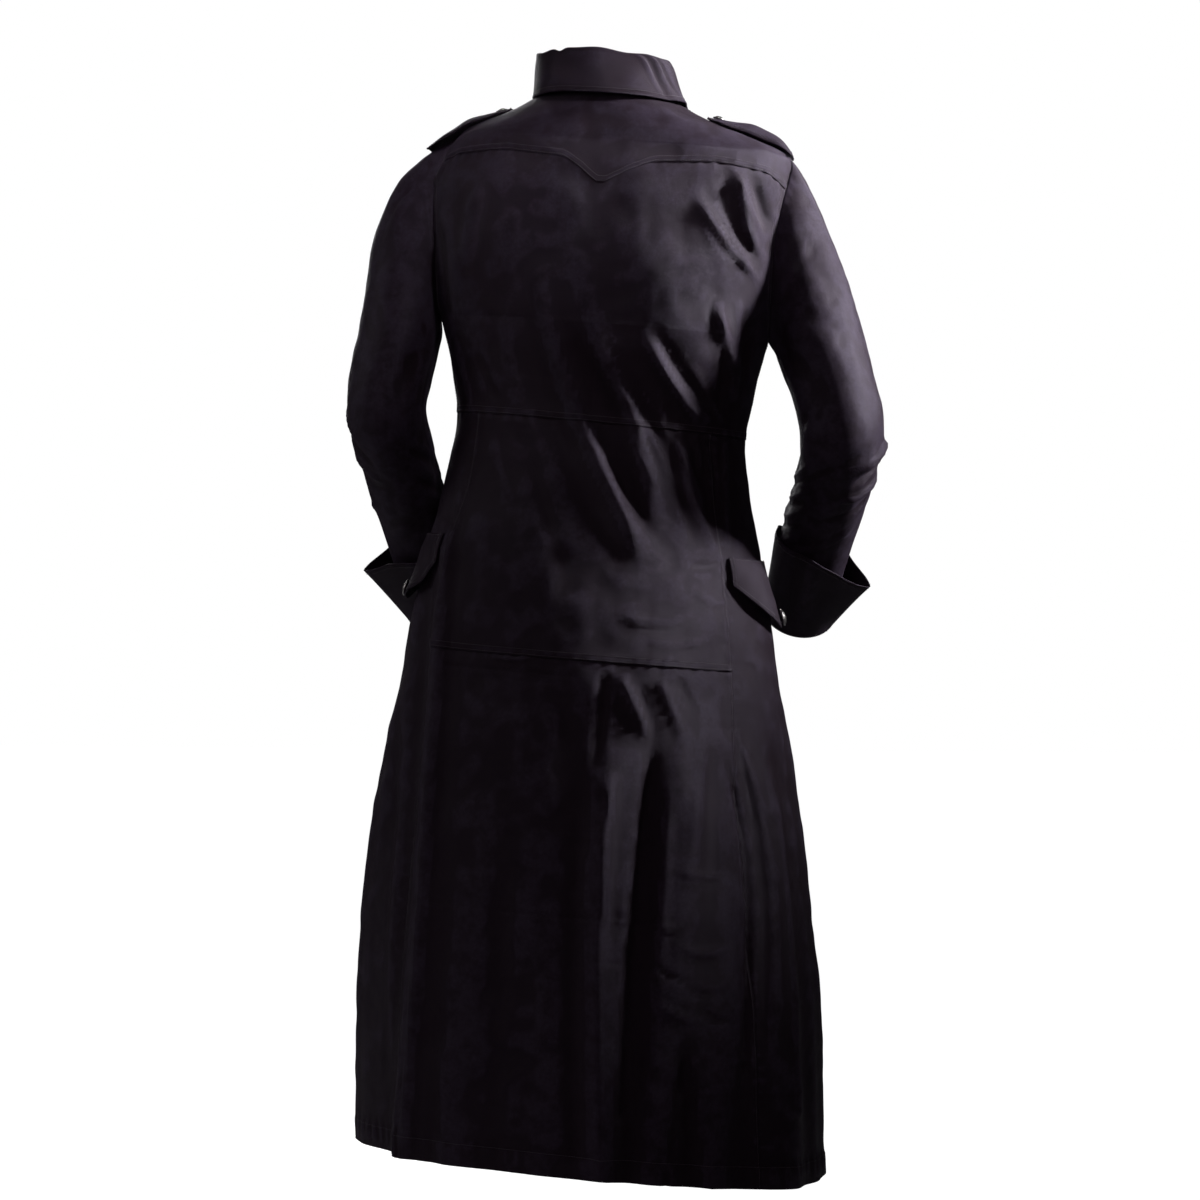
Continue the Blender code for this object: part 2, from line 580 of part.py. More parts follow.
def shoulder_line(side):
    """Points along the ridge of the shoulder and over the sleeve head."""
    sign = 1.0 if side == "left" else -1.0
    ridge = body_surface(np.full(8, 0.5 * sign), np.linspace(0.0, SHOULDER_DROP, 8))
    return np.concatenate([ridge, sleeve_grid(side)[1:3, 0]])


def build_straps(cloth, metal):
    for row in STRAPS:
        strap = dict(zip(STRAP_COLUMNS, row))
        line = shoulder_line(strap["side"])
        lengths = np.concatenate([[0.0], np.cumsum(np.linalg.norm(np.diff(line, axis=0), axis=1))])
        share = np.linspace(0.0, 1.0, STRAP_ROWS + 1)
        at = strap["start"] + strap["length"] * share
        centre = np.stack([np.interp(at, lengths, line[:, axis]) for axis in range(3)], axis=-1)
        arch = np.sin(np.pi * share ** (np.log(0.5) / np.log(strap["peak"])))
        offset = LAID_GAP + CLOTH + strap["rise"] * arch
        along = unit(np.gradient(centre, axis=0))
        sign = 1.0 if strap["side"] == "left" else -1.0
        up = unit(np.cross(along, np.array([0.0, sign, 0.0])))
        up = up * np.sign(up[:, 2:3])
        across = np.linspace(-1.0, 1.0, 5)
        taper = 1.0 - 0.30 * np.exp(-(share / 0.10) ** 2)
        points = centre[:, None] + up[:, None] * offset[:, None, None]
        points = points + np.array([0.0, 1.0, 0.0]) * (
            STRAP_HALF_WIDTH * taper[:, None] * across)[..., None]
        points = np.broadcast_to(points, (len(share), 5, 3))
        raised = unit(np.cross(np.gradient(points, axis=0), np.gradient(points, axis=1)))
        raised = raised * np.sign(raised[..., 2:3])
        cloth_wall("shoulder_strap_" + strap["side"], points, raised, cloth)
        seat = points[1, 2] + raised[1, 2] * BUTTON_GAP
        add_button("strap_button_" + strap["side"], seat, raised[1, 2], STRAP_BUTTON_RADIUS, metal)


def build_flaps(cloth, metal):
    for side, sign in (("left", 1.0), ("right", -1.0)):
        column = np.linspace(FLAP_FIRST, FLAP_LAST, FLAP_ACROSS + 1)
        low = through((FLAP_FIRST, FLAP_POINT - 0.08, FLAP_POINT, FLAP_LAST),
                      (FLAP_END_DROP, FLAP_POINT_DROP - 0.014, FLAP_POINT_DROP, FLAP_POINT_DROP - 0.02),
                      column)
        share = np.linspace(0.0, 1.0, FLAP_ROWS + 1)[:, None]
        drops = FLAP_TOP_DROP + (low - FLAP_TOP_DROP) * share
        around = np.broadcast_to(sign * column, drops.shape)
        normals = slopes_to_normals(body_surface, around, drops)
        lift = LAID_GAP + CLOTH + FLAP_LIFT * share * np.sin(
            np.pi * np.linspace(0.06, 0.94, FLAP_ACROSS + 1))
        points = body_surface(around, drops) + normals * lift[..., None]
        cloth_wall("pocket_flap_" + side, points, normals, cloth)
        middle = int(np.abs(column - FLAP_POINT).argmin())
        foot = 0.5 * (points[-1, middle] + points[-2, middle])
        outward = sign * unit(np.cross(points[-1, middle + 1] - points[-1, middle - 1],
                                       points[-1, middle] - points[-2, middle]))
        add_button("flap_button_" + side, foot + outward * BUTTON_GAP, outward,
                   FLAP_BUTTON_RADIUS, metal)


def build_front(cloth, metal):
    drops = long_rows(np.zeros(1))[:, 0]
    upper = front_rows(np.zeros(1))[1:-1, 0]
    drops = np.concatenate([[PLACKET_TOP_DROP], upper, drops])
    columns = 1.0 + PLACKET_HALF * np.linspace(-1.0, 1.0, 5)
    columns, drops = np.broadcast_arrays(columns[None, :], drops[:, None])
    normals = slopes_to_normals(body_surface, columns, drops)
    points = body_surface(columns, drops) + normals * (LAID_GAP + CLOTH)
    cloth_wall("front_placket", pull_edges(points, "b"), normals, cloth)
    for number, drop in enumerate(FRONT_BUTTON_DROPS, start=1):
        place = np.array([1.0]), np.array([drop])
        outward = slopes_to_normals(body_surface, *place)[0]
        seat = body_surface(*place)[0] + outward * (LAID_GAP + CLOTH + BUTTON_GAP)
        add_button("front_button_%d" % number, seat, outward, FRONT_BUTTON_RADIUS, metal)


def add_button(name, seat, outward, radius, metal):
    """Domed shank button, spun from its profile and set on the cloth at its seat."""
    work = bmesh.new()
    rings = []
    for reach, height in BUTTON_PROFILE:
        ring = []
        for side in range(BUTTON_SIDES):
            angle = 2.0 * np.pi * side / BUTTON_SIDES
            ring.append(work.verts.new((radius * reach * np.cos(angle),
                                        radius * reach * np.sin(angle), radius * height)))
        rings.append(ring)
    work.faces.new(rings[0][::-1])
    for low, high in zip(rings[:-1], rings[1:]):
        for side in range(BUTTON_SIDES):
            after = (side + 1) % BUTTON_SIDES
            work.faces.new((low[side], low[after], high[after], high[side]))
    crown = work.verts.new((0.0, 0.0, radius * BUTTON_CROWN))
    for side in range(BUTTON_SIDES):
        work.faces.new((rings[-1][side], rings[-1][(side + 1) % BUTTON_SIDES], crown))
    turn = Vector(outward.tolist()).to_track_quat("Z", "Y").to_matrix().to_4x4()
    work.transform(Matrix.Translation(Vector(seat.tolist())) @ turn)
    mesh = bpy.data.meshes.new(name)
    work.to_mesh(mesh)
    work.free()
    mesh.shade_smooth()
    return add_object(name, mesh, metal)


def add_material(name, colour, roughness, metallic):
    material = bpy.data.materials.new(name)
    material.use_nodes = True
    surface = material.node_tree.nodes["Principled BSDF"]
    surface.inputs["Base Color"].default_value = (*colour, 1.0)
    surface.inputs["Roughness"].default_value = roughness
    surface.inputs["Metallic"].default_value = metallic
    material.diffuse_color = (*colour, 1.0)
    return material


def main():
    for item in list(bpy.data.objects):
        bpy.data.objects.remove(item, do_unlink=True)
    cloth = add_material("black_twill", (0.020, 0.016, 0.022), 0.72, 0.0)
    metal = add_material("silver_metal", (0.62, 0.61, 0.60), 0.30, 1.0)
    build_body(cloth)
    build_collar(cloth)
    build_sleeves(cloth)
    build_straps(cloth, metal)
    build_flaps(cloth, metal)
    build_front(cloth, metal)


main()
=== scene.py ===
# Long black twill coat in a worn pose, seen from behind, with nobody in it.
# Each panel is sewn again here as a fine shell on its solid's form, with creases, seams and stitches.
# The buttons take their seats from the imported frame. Metres, +Z up, and the coat faces -Y.
import math

import bmesh
import bpy
import numpy as np
from mathutils import Matrix, Vector


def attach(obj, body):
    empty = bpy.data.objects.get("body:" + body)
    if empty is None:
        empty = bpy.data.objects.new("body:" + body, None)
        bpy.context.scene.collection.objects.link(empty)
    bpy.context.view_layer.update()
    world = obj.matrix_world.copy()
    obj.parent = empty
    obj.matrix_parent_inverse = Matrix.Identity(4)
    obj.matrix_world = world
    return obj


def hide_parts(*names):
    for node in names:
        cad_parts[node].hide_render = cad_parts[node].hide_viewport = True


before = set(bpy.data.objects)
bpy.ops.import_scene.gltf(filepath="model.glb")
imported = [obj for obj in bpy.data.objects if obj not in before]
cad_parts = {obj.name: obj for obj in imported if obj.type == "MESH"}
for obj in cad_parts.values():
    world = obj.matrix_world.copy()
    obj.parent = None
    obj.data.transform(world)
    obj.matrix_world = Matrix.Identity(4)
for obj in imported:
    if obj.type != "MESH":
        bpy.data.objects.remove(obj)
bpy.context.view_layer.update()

print("frame loaded:", len(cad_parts), "nodes")

# Camera, light and floor
viewFrom = {"azimuth": 187.0, "distance": 4.0, "target": (0.0125, 0.0, -0.6275),
            "lens": 96.0, "sensor": 36.0}
studio = {
    "floorLevel": -1.52, "floorSize": 30.0, "floorColour": (0.45, 0.45, 0.46),
    "wallColour": (1.0, 1.0, 1.0), "wallBrightness": 1.0, "wallLight": 0.019,
    "wallLightColour": (1.0, 0.86, 0.92), "floorGlow": 1.0, "floorRoughness": 0.8,
}
softLights = (
    {"name": "keyLight", "place": (-2.8, -0.16, 1.00), "size": 0.6, "spread": 26.0, "power": 6.4,
     "aim": (-0.24, 0.0, -0.15)},
    {"name": "topLight", "place": (-0.9, 1.3, 1.9), "size": 0.5, "spread": 9.0, "power": 0.33,
     "aim": (-0.03, 0.05, 0.085)},
    {"name": "fillLight", "place": (2.8, 0.6, 0.7), "size": 1.5, "spread": 100.0, "power": 3.0,
     "aim": (0.2, 0.0, -0.4)},
    {"name": "backFill", "place": (0.2, 4.0, 0.6), "size": 3.0, "spread": 120.0, "power": 5.6,
     "aim": (0.0, 0.0, -0.7), "tint": (1.0, 0.82, 0.88)},
    {"name": "frontLight", "place": (1.2, -3.2, 0.9), "size": 2.2, "spread": 120.0, "power": 20.0,
     "aim": (0.0, 0.0, -0.6)},
)


def aimAt(item, target):
    item.rotation_euler = (Vector(target) - item.location).to_track_quat("-Z", "Y").to_euler()


def setCamera():
    turn = math.radians(viewFrom["azimuth"])
    target = Vector(viewFrom["target"])
    camera = bpy.data.objects.new("coatCamera", bpy.data.cameras.new("coatCamera"))
    camera.data.lens = viewFrom["lens"]
    camera.data.sensor_width = viewFrom["sensor"]
    camera.location = target + viewFrom["distance"] * Vector((math.sin(turn), -math.cos(turn), 0.0))
    aimAt(camera, target)
    bpy.context.collection.objects.link(camera)
    bpy.context.scene.camera = camera


def sums(tree, operation, first, second=None, third=None):
    # a Math node whose inputs are numbers or other nodes' sockets
    node = tree.nodes.new("ShaderNodeMath")
    node.operation = operation
    for slot, value in zip(node.inputs, (first, second, third)):
        if isinstance(value, bpy.types.NodeSocket):
            tree.links.new(value, slot)
        elif value is not None:
            slot.default_value = value
    return node.outputs[0]


def setLights():
    for light in softLights:
        lamp = bpy.data.lights.new(light["name"], "AREA")
        lamp.shape = "DISK"
        lamp.size = light["size"]
        lamp.energy = light["power"]
        lamp.color = light.get("tint", (1.0, 1.0, 1.0))
        lamp.spread = math.radians(light["spread"])
        item = bpy.data.objects.new(light["name"], lamp)
        item.location = light["place"]
        aimAt(item, light["aim"])
        bpy.context.collection.objects.link(item)


def setFloor():
    half = studio["floorSize"] / 2
    level = studio["floorLevel"]
    mesh = bpy.data.meshes.new("studioFloor")
    corners = [(-half, -half, level), (half, -half, level), (half, half, level), (-half, half, level)]
    mesh.from_pydata(corners, [], [(0, 1, 2, 3)])
    floor = bpy.data.objects.new("studioFloor", mesh)
    bpy.context.collection.objects.link(floor)
    paint = bpy.data.materials.new("floorPaint")
    paint.use_nodes = True
    tree = paint.node_tree
    surface = tree.nodes["Principled BSDF"]
    surface.inputs["Base Color"].default_value = (*studio["floorColour"], 1.0)
    surface.inputs["Roughness"].default_value = studio["floorRoughness"]
    surface.inputs["Emission Color"].default_value = (*studio["wallColour"], 1.0)
    # the floor runs into the pale wall, and does not light the cloth from below
    seen = tree.nodes.new("ShaderNodeLightPath")
    glow = sums(tree, "MULTIPLY", seen.outputs["Is Camera Ray"], studio["floorGlow"])
    tree.links.new(glow, surface.inputs["Emission Strength"])
    mesh.materials.append(paint)


def setWorld():
    # the pale wall behind the coat is seen as it is, and lights the black cloth more weakly
    world = bpy.data.worlds.new("studioWall")
    world.use_nodes = True
    bpy.context.scene.world = world
    tree = world.node_tree
    shown = tree.nodes["Background"]
    shown.inputs["Color"].default_value = (*studio["wallColour"], 1.0)
    shown.inputs["Strength"].default_value = studio["wallBrightness"]
    lighting = tree.nodes.new("ShaderNodeBackground")
    lighting.inputs["Color"].default_value = (*studio["wallLightColour"], 1.0)
    lighting.inputs["Strength"].default_value = studio["wallLight"]
    seen = tree.nodes.new("ShaderNodeLightPath")
    blend = tree.nodes.new("ShaderNodeMixShader")
    tree.links.new(seen.outputs["Is Camera Ray"], blend.inputs["Fac"])
    tree.links.new(lighting.outputs["Background"], blend.inputs[1])
    tree.links.new(shown.outputs["Background"], blend.inputs[2])
    tree.links.new(blend.outputs["Shader"], tree.nodes["World Output"].inputs["Surface"])


setCamera()
setLights()
setFloor()
setWorld()
bpy.context.scene.view_settings.view_transform = "Standard"
print("camera, lights and floor set")

# Materials
# the rubbed colour lights the ridges of the folds: partly wear, partly a painted highlight
dye = {
    "dark": (0.0088, 0.0026, 0.0044), "faded": (0.0118, 0.0054, 0.0096), "rubbedAndHighlight": (0.040, 0.029, 0.050),
    "roughness": 0.60, "gloss": 0.36, "glossColour": (0.83, 0.74, 1.0),
    "sheen": 0.045, "sheenRoughness": 0.42, "sheenColour": (0.76, 0.64, 1.0),
    "weaveDepth": 0.00016, "napDepth": 0.00030,
}
weave = {"ribs": 1250.0, "slant": 0.62, "wobbleScale": 260.0, "wobble": 0.0011, "ribRise": 0.40,
         "yarnRise": 0.10, "yarnTurns": 2.2, "slubScale": 900.0, "shade": 0.35}
# sizes for the wear patches and specks, and the ridge height that sets the painted highlight on ridges and
# the painted shade in troughs
wearAndShadeScales = {"patchScale": 7.0, "specks": 210.0, "breaks": 46.0, "ridge": 0.0006}
threadDye = {"colour": (0.050, 0.040, 0.056), "roughness": 0.55, "sheen": 0.35, "lighter": 1.9,
             "fibres": 1400.0, "depth": 0.0001}
silver = {"bright": (0.66, 0.65, 0.63), "tarnished": (0.16, 0.15, 0.15), "roughness": 0.27,
          "stains": 320.0, "depth": 0.00004}


def newGroup(name, inputs, outputs):
    group = bpy.data.node_groups.new(name, "ShaderNodeTree")
    for title, kind, value in inputs:
        socket = group.interface.new_socket(name=title, in_out="INPUT", socket_type=kind)
        if value is not None:
            socket.default_value = value
    for title, kind in outputs:
        group.interface.new_socket(name=title, in_out="OUTPUT", socket_type=kind)
    return group, group.nodes.new("NodeGroupInput"), group.nodes.new("NodeGroupOutput")


def noiseAt(tree, place, scale, detail=3.0, roughness=0.55):
    node = tree.nodes.new("ShaderNodeTexNoise")
    node.inputs["Scale"].default_value = scale
    node.inputs["Detail"].default_value = detail
    node.inputs["Roughness"].default_value = roughness
    tree.links.new(place, node.inputs["Vector"])
    return node.outputs["Fac"]


def spreadOver(tree, value, low, high, newLow=0.0, newHigh=1.0):
    node = tree.nodes.new("ShaderNodeMapRange")
    node.interpolation_type = "SMOOTHSTEP"
    tree.links.new(value, node.inputs["Value"])
    for title, number in (("From Min", low), ("From Max", high), ("To Min", newLow), ("To Max", newHigh)):
        node.inputs[title].default_value = number
    return node.outputs["Result"]


def mixColours(tree, share, first, second):
    node = tree.nodes.new("ShaderNodeMix")
    node.data_type = "RGBA"
    tree.links.new(share, node.inputs["Factor"])
    for slot, value in ((node.inputs[6], first), (node.inputs[7], second)):
        if isinstance(value, bpy.types.NodeSocket):
            tree.links.new(value, slot)
        else:
            slot.default_value = (*value, 1.0)
    return node.outputs[2]


def twillWeaveGroup():
    # slanted ribs with a thread's wobble, in the cloth's own metres
    group, given, result = newGroup(
        "twillWeave",
        (("Cloth Place", "NodeSocketVector", None),
         ("Ribs", "NodeSocketFloat", weave["ribs"])),
        (("Height", "NodeSocketFloat"), ("Shade", "NodeSocketFloat")))
    place = group.nodes.new("ShaderNodeSeparateXYZ")
    group.links.new(given.outputs["Cloth Place"], place.inputs[0])
    lean = sums(group, "MULTIPLY", place.outputs["Y"], weave["slant"])
    slant = sums(group, "ADD", place.outputs["X"], lean)
    loose = noiseAt(group, given.outputs["Cloth Place"], weave["wobbleScale"])
    wobble = sums(group, "MULTIPLY", loose, weave["wobble"])
    turns = sums(group, "MULTIPLY", sums(group, "ADD", slant, wobble), given.outputs["Ribs"])
    rib = sums(group, "SINE", sums(group, "MULTIPLY", turns, 2.0 * math.pi))
    across = sums(group, "MULTIPLY", place.outputs["Y"], given.outputs["Ribs"])
    yarn = sums(group, "SINE", sums(group, "MULTIPLY", across, 2.0 * weave["yarnTurns"] * math.pi))
    low = sums(group, "MULTIPLY_ADD", yarn, weave["yarnRise"], 0.5)
    height = sums(group, "MULTIPLY_ADD", rib, weave["ribRise"], low)
    group.links.new(height, result.inputs["Height"])
    slub = noiseAt(group, given.outputs["Cloth Place"], weave["slubScale"], 2.0)
    group.links.new(sums(group, "MULTIPLY", height, slub), result.inputs["Shade"])
    return group


def clothWearAndShadeGroup():
    # rubbed ridges, lighter partly from wear and partly as a painted highlight, faded patches held back in
    # the fold troughs so that these stay darker as painted shade, and a soft nap
    group, given, result = newGroup(
        "clothWearAndShade",
        (("Place", "NodeSocketVector", None), ("Crest", "NodeSocketFloat", 0.0)),
        (("Rubbed And Highlight", "NodeSocketFloat"), ("Faded And Trough Shade", "NodeSocketFloat"), ("Nap", "NodeSocketFloat")))
    place = given.outputs["Place"]
    patches = spreadOver(group, noiseAt(group, place, wearAndShadeScales["patchScale"], 4.0), 0.30, 0.84)
    specks = noiseAt(group, place, wearAndShadeScales["specks"], 3.0, 0.7)
    # painted highlight mixed with wear: the ridges of the folds take a lighter rubbed tone, broken up by
    # noise
    raised = spreadOver(group, given.outputs["Crest"], 0.15, 0.95)
    broken = spreadOver(group, noiseAt(group, place, wearAndShadeScales["breaks"], 4.0, 0.65), 0.30, 0.62)
    rubbedAndHighlight = sums(group, "MULTIPLY", sums(group, "MULTIPLY", raised, broken), specks)
    # painted shade: the fading is held back in the troughs of the folds, so they keep the darker dye
    troughShade = spreadOver(group, given.outputs["Crest"], -0.9, 0.1)
    group.links.new(rubbedAndHighlight, result.inputs["Rubbed And Highlight"])
    group.links.new(sums(group, "MULTIPLY", patches, troughShade), result.inputs["Faded And Trough Shade"])
    group.links.new(specks, result.inputs["Nap"])
    return group


def newMaterial(name):
    material = bpy.data.materials.new(name)
    material.use_nodes = True
    tree = material.node_tree
    return material, tree, tree.nodes["Principled BSDF"], tree.nodes.new("ShaderNodeTexCoord")


def useGroup(tree, group):
    node = tree.nodes.new("ShaderNodeGroup")
    node.node_tree = group
    return node


def addBump(tree, surface, height, distance, after=None):
    bump = tree.nodes.new("ShaderNodeBump")
    bump.inputs["Distance"].default_value = distance
    tree.links.new(height, bump.inputs["Height"])
    if after is not None:
        tree.links.new(after, bump.inputs["Normal"])
    tree.links.new(bump.outputs["Normal"], surface.inputs["Normal"])
    return bump.outputs["Normal"]


def makeTwill(weaveGroup, wearAndShadeGroup):
    material, tree, surface, place = newMaterial("blackTwill")
    ribs = useGroup(tree, weaveGroup)
    tree.links.new(place.outputs["UV"], ribs.inputs["Cloth Place"])
    wornAndShaded = useGroup(tree, wearAndShadeGroup)
    crest = tree.nodes.new("ShaderNodeAttribute")
    crest.attribute_name = "crest"
    tree.links.new(place.outputs["Object"], wornAndShaded.inputs["Place"])
    tree.links.new(crest.outputs["Fac"], wornAndShaded.inputs["Crest"])
    # painted shade: the darker dye stays in the troughs of the folds, and the faded patches lift the rest
    colour = mixColours(tree, wornAndShaded.outputs["Faded And Trough Shade"], dye["dark"], dye["faded"])
    shaded = sums(tree, "MULTIPLY", ribs.outputs["Shade"], weave["shade"])
    colour = mixColours(tree, shaded, colour, dye["faded"])
    # the ridges turn lighter: partly wear, partly a painted highlight
    colour = mixColours(tree, wornAndShaded.outputs["Rubbed And Highlight"], colour, dye["rubbedAndHighlight"])
    tree.links.new(colour, surface.inputs["Base Color"])
    dull = spreadOver(tree, wornAndShaded.outputs["Faded And Trough Shade"], 0.0, 1.0, dye["roughness"] - 0.06, dye["roughness"] + 0.08)
    tree.links.new(dull, surface.inputs["Roughness"])
    surface.inputs["Specular IOR Level"].default_value = dye["gloss"]
    surface.inputs["Specular Tint"].default_value = (*dye["glossColour"], 1.0)
    surface.inputs["Sheen Weight"].default_value = dye["sheen"]
    surface.inputs["Sheen Roughness"].default_value = dye["sheenRoughness"]
    surface.inputs["Sheen Tint"].default_value = (*dye["sheenColour"], 1.0)
    nap = addBump(tree, surface, wornAndShaded.outputs["Nap"], dye["napDepth"])
    addBump(tree, surface, ribs.outputs["Height"], dye["weaveDepth"], nap)
    return material


def makeThread():
    material, tree, surface, place = newMaterial("blackThread")
    surface.inputs["Roughness"].default_value = threadDye["roughness"]
    surface.inputs["Sheen Weight"].default_value = threadDye["sheen"]
    fibres = noiseAt(tree, place.outputs["Object"], threadDye["fibres"], 2.0)
    lighter = tuple(threadDye["lighter"] * part for part in threadDye["colour"])
    tree.links.new(mixColours(tree, fibres, threadDye["colour"], lighter), surface.inputs["Base Color"])
    addBump(tree, surface, fibres, threadDye["depth"])
    return material


def makeSilver():
    material, tree, surface, place = newMaterial("paleSilver")
    surface.inputs["Metallic"].default_value = 1.0
    recess = tree.nodes.new("ShaderNodeAttribute")
    recess.attribute_name = "recess"
    stains = noiseAt(tree, place.outputs["Object"], silver["stains"], 4.0, 0.65)
    stained = spreadOver(tree, stains, 0.25, 0.60, 0.55, 1.0)
    tarnish = sums(tree, "MULTIPLY", recess.outputs["Fac"], stained)
    colour = mixColours(tree, tarnish, silver["bright"], silver["tarnished"])
    tree.links.new(colour, surface.inputs["Base Color"])
    dull = spreadOver(tree, stains, 0.3, 0.7, silver["roughness"] - 0.05, silver["roughness"] + 0.12)
    tree.links.new(dull, surface.inputs["Roughness"])
    addBump(tree, surface, stains, silver["depth"])
    return material


blackTwill = makeTwill(twillWeaveGroup(), clothWearAndShadeGroup())
blackThread = makeThread()
paleSilver = makeSilver()
print("materials made")

# The worn form: sizes shared by every panel, the same as in the part's source
coat = {
    "cloth": 0.0022, "seamGap": 0.00004, "laidGap": 0.0008, "shoulder": 0.060, "armhole": 0.290,
    "waist": 0.410, "seat": 0.700, "hem": 1.329, "sideBack": 8 / 28, "sideFront": 20 / 28,
    "armholeBack": 0.20, "armholeFront": 0.25, "armholeRound": 0.60,
    "coarse": 0.0052, "fine": 0.0020, "edgeBand": 0.011, "unevenness": 0.0007, "crumple": 0.00024,
    "longWaves": (0.060, 0.130), "shortWaves": (0.018, 0.040),
}
sectionColumns = ("drop", "halfWidth", "back", "front", "shift", "square",
                  "sideLevel", "backLevel", "frontLevel", "tilt")
bodySections = (
    (0.000, 0.086, 0.072, 0.080, 0.000, 2.0, -0.003, 0.000, -0.028, 0.070),
    (0.020, 0.125, 0.083, 0.088, -0.006, 2.1, -0.026, -0.020, -0.048, 0.080),
    (0.040, 0.168, 0.093, 0.096, -0.013, 2.2, -0.043, -0.043, -0.068, 0.080),
    (0.060, 0.207, 0.101, 0.103, -0.018, 2.3, -0.062, -0.065, -0.088, 0.078),
    (0.080, 0.217, 0.107, 0.109, -0.012, 2.3, -0.084, -0.085, -0.104, 0.078),
    (0.130, 0.223, 0.117, 0.120, 0.000, 2.3, -0.130, -0.130, -0.140, 0.080),
    (0.200, 0.219, 0.122, 0.129, 0.004, 2.3, -0.200, -0.200, -0.200, 0.080),
    (0.290, 0.205, 0.113, 0.128, 0.007, 2.2, -0.290, -0.290, -0.290, 0.085),
    (0.360, 0.187, 0.099, 0.117, 0.009, 2.2, -0.360, -0.360, -0.360, 0.095),
    (0.410, 0.181, 0.094, 0.112, 0.012, 2.2, -0.410, -0.410, -0.410, 0.100),
    (0.470, 0.187, 0.103, 0.116, 0.014, 2.2, -0.470, -0.470, -0.470, 0.095),
    (0.580, 0.211, 0.130, 0.134, 0.019, 2.2, -0.580, -0.580, -0.580, 0.085),
    (0.700, 0.233, 0.150, 0.152, 0.023, 2.1, -0.700, -0.700, -0.700, 0.080),
    (0.830, 0.251, 0.163, 0.163, 0.027, 2.0, -0.830, -0.830, -0.830, 0.080),
    (1.000, 0.273, 0.180, 0.176, 0.029, 2.0, -1.000, -0.998, -1.000, 0.078),
    (1.130, 0.284, 0.190, 0.185, 0.027, 2.0, -1.129, -1.124, -1.129, 0.076),
    (1.329, 0.287, 0.199, 0.191, 0.025, 2.0, -1.325, -1.315, -1.323, 0.070),
)
# A fold's row: across and level of three places on it, its reach at both ends and its height in
# millimetres, then the shares over which it fades in and out, its sharpness and its lean.
# First the large folds of the solids, then the finer creases that only the cloth has, on the back.
largeFolds = {
    "back": (
        (79, -200, 26, -410, -83, -610, 20, 26, 6.5, 0.35, 0.2),
        (100, -300, 52, -430, -40, -600, 20, 24, -3.5, 0.35, 0.2),
        (33, -214, -32, -380, -78, -560, 17, 22, 4.5, 0.3, 0.25),
        (55, -260, -4, -390, -60, -560, 16, 20, -3.5, 0.3, 0.25),
        (-50, -289, -86, -360, -132, -420, 16, 18, 6, 0.35, 0.2),
        (-139, -255, -152, -311, -162, -365, 15, 15, 5, 0.3, 0.3),
        (-164, -95, -177, -160, -197, -225, 16, 18, 4.2, 0.25, 0.3),
        (-143, -110, -160, -165, -176, -225, 16, 18, -2.4, 0.3, 0.3),
        (150, -110, 158, -165, 172, -230, 20, 20, 5, 0.3, 0.3),
        (-95, -431, -106, -480, -128, -545, 15, 18, 5, 0.25, 0.3),
        (-28, -712, -50, -759, -70, -800, 14, 18, 2.6, 0.15, 0.4),
        (-21, -780, -4, -980, -14, -1340, 26, 40, 6.8, 0.4, 0),
        (-70, -760, -62, -980, -42, -1340, 20, 30, -7.2, 0.4, 0),
        (-115, -740, -108, -930, -100, -1180, 28, 40, 5.5, 0.4, 0.3),
        (-146, -730, -184, -930, -176, -1340, 22, 36, -8.5, 0.4, 0),
        (-112, -1130, -115, -1240, -116, -1340, 14, 36, -9, 0.4, 0),
        (-209, -820, -224, -1000, -238, -1340, 22, 34, 6.5, 0.35, 0),
        (190, -520, 203, -800, 242, -1340, 16, 24, 9, 0.15, 0),
        (222, -560, 234, -850, 272, -1340, 18, 26, -10, 0.15, 0),
        (120, -900, 118, -1100, 125, -1340, 40, 60, -7, 0.4, 0),
    ),
    "left": (
        (60, -760, 72, -1000, 80, -1340, 30, 45, -10, 0.35, 0),
        (5, -740, 0, -1000, -5, -1340, 35, 50, 10, 0.35, 0),
        (-80, -700, -95, -980, -105, -1340, 28, 42, -12, 0.3, 0),
    ),
    "right": (
        (40, -760, 40, -1000, 50, -1340, 30, 45, -11, 0.35, 0),
        (-20, -700, -35, -1000, -45, -1340, 32, 50, 11, 0.3, 0),
        (-90, -740, -110, -1000, -118, -1340, 28, 40, -12, 0.3, 0),
    ),
    "front": (
        (150, -640, 168, -950, 180, -1340, 30, 45, 12, 0.3, 0),
        (100, -560, 112, -900, 120, -1340, 24, 40, -14, 0.3, 0),
        (-90, -560, -105, -900, -118, -1340, 26, 42, -14, 0.3, 0),
        (-145, -640, -170, -950, -185, -1340, 30, 45, 12, 0.3, 0),
        (150, -180, 110, -300, 60, -400, 22, 18, 7, 0.3, 0.25),
        (-160, -190, -115, -310, -50, -405, 24, 18, 7, 0.3, 0.25),
        (-120, -240, -90, -330, -40, -440, 18, 18, -5, 0.3, 0.25),
    ),
}
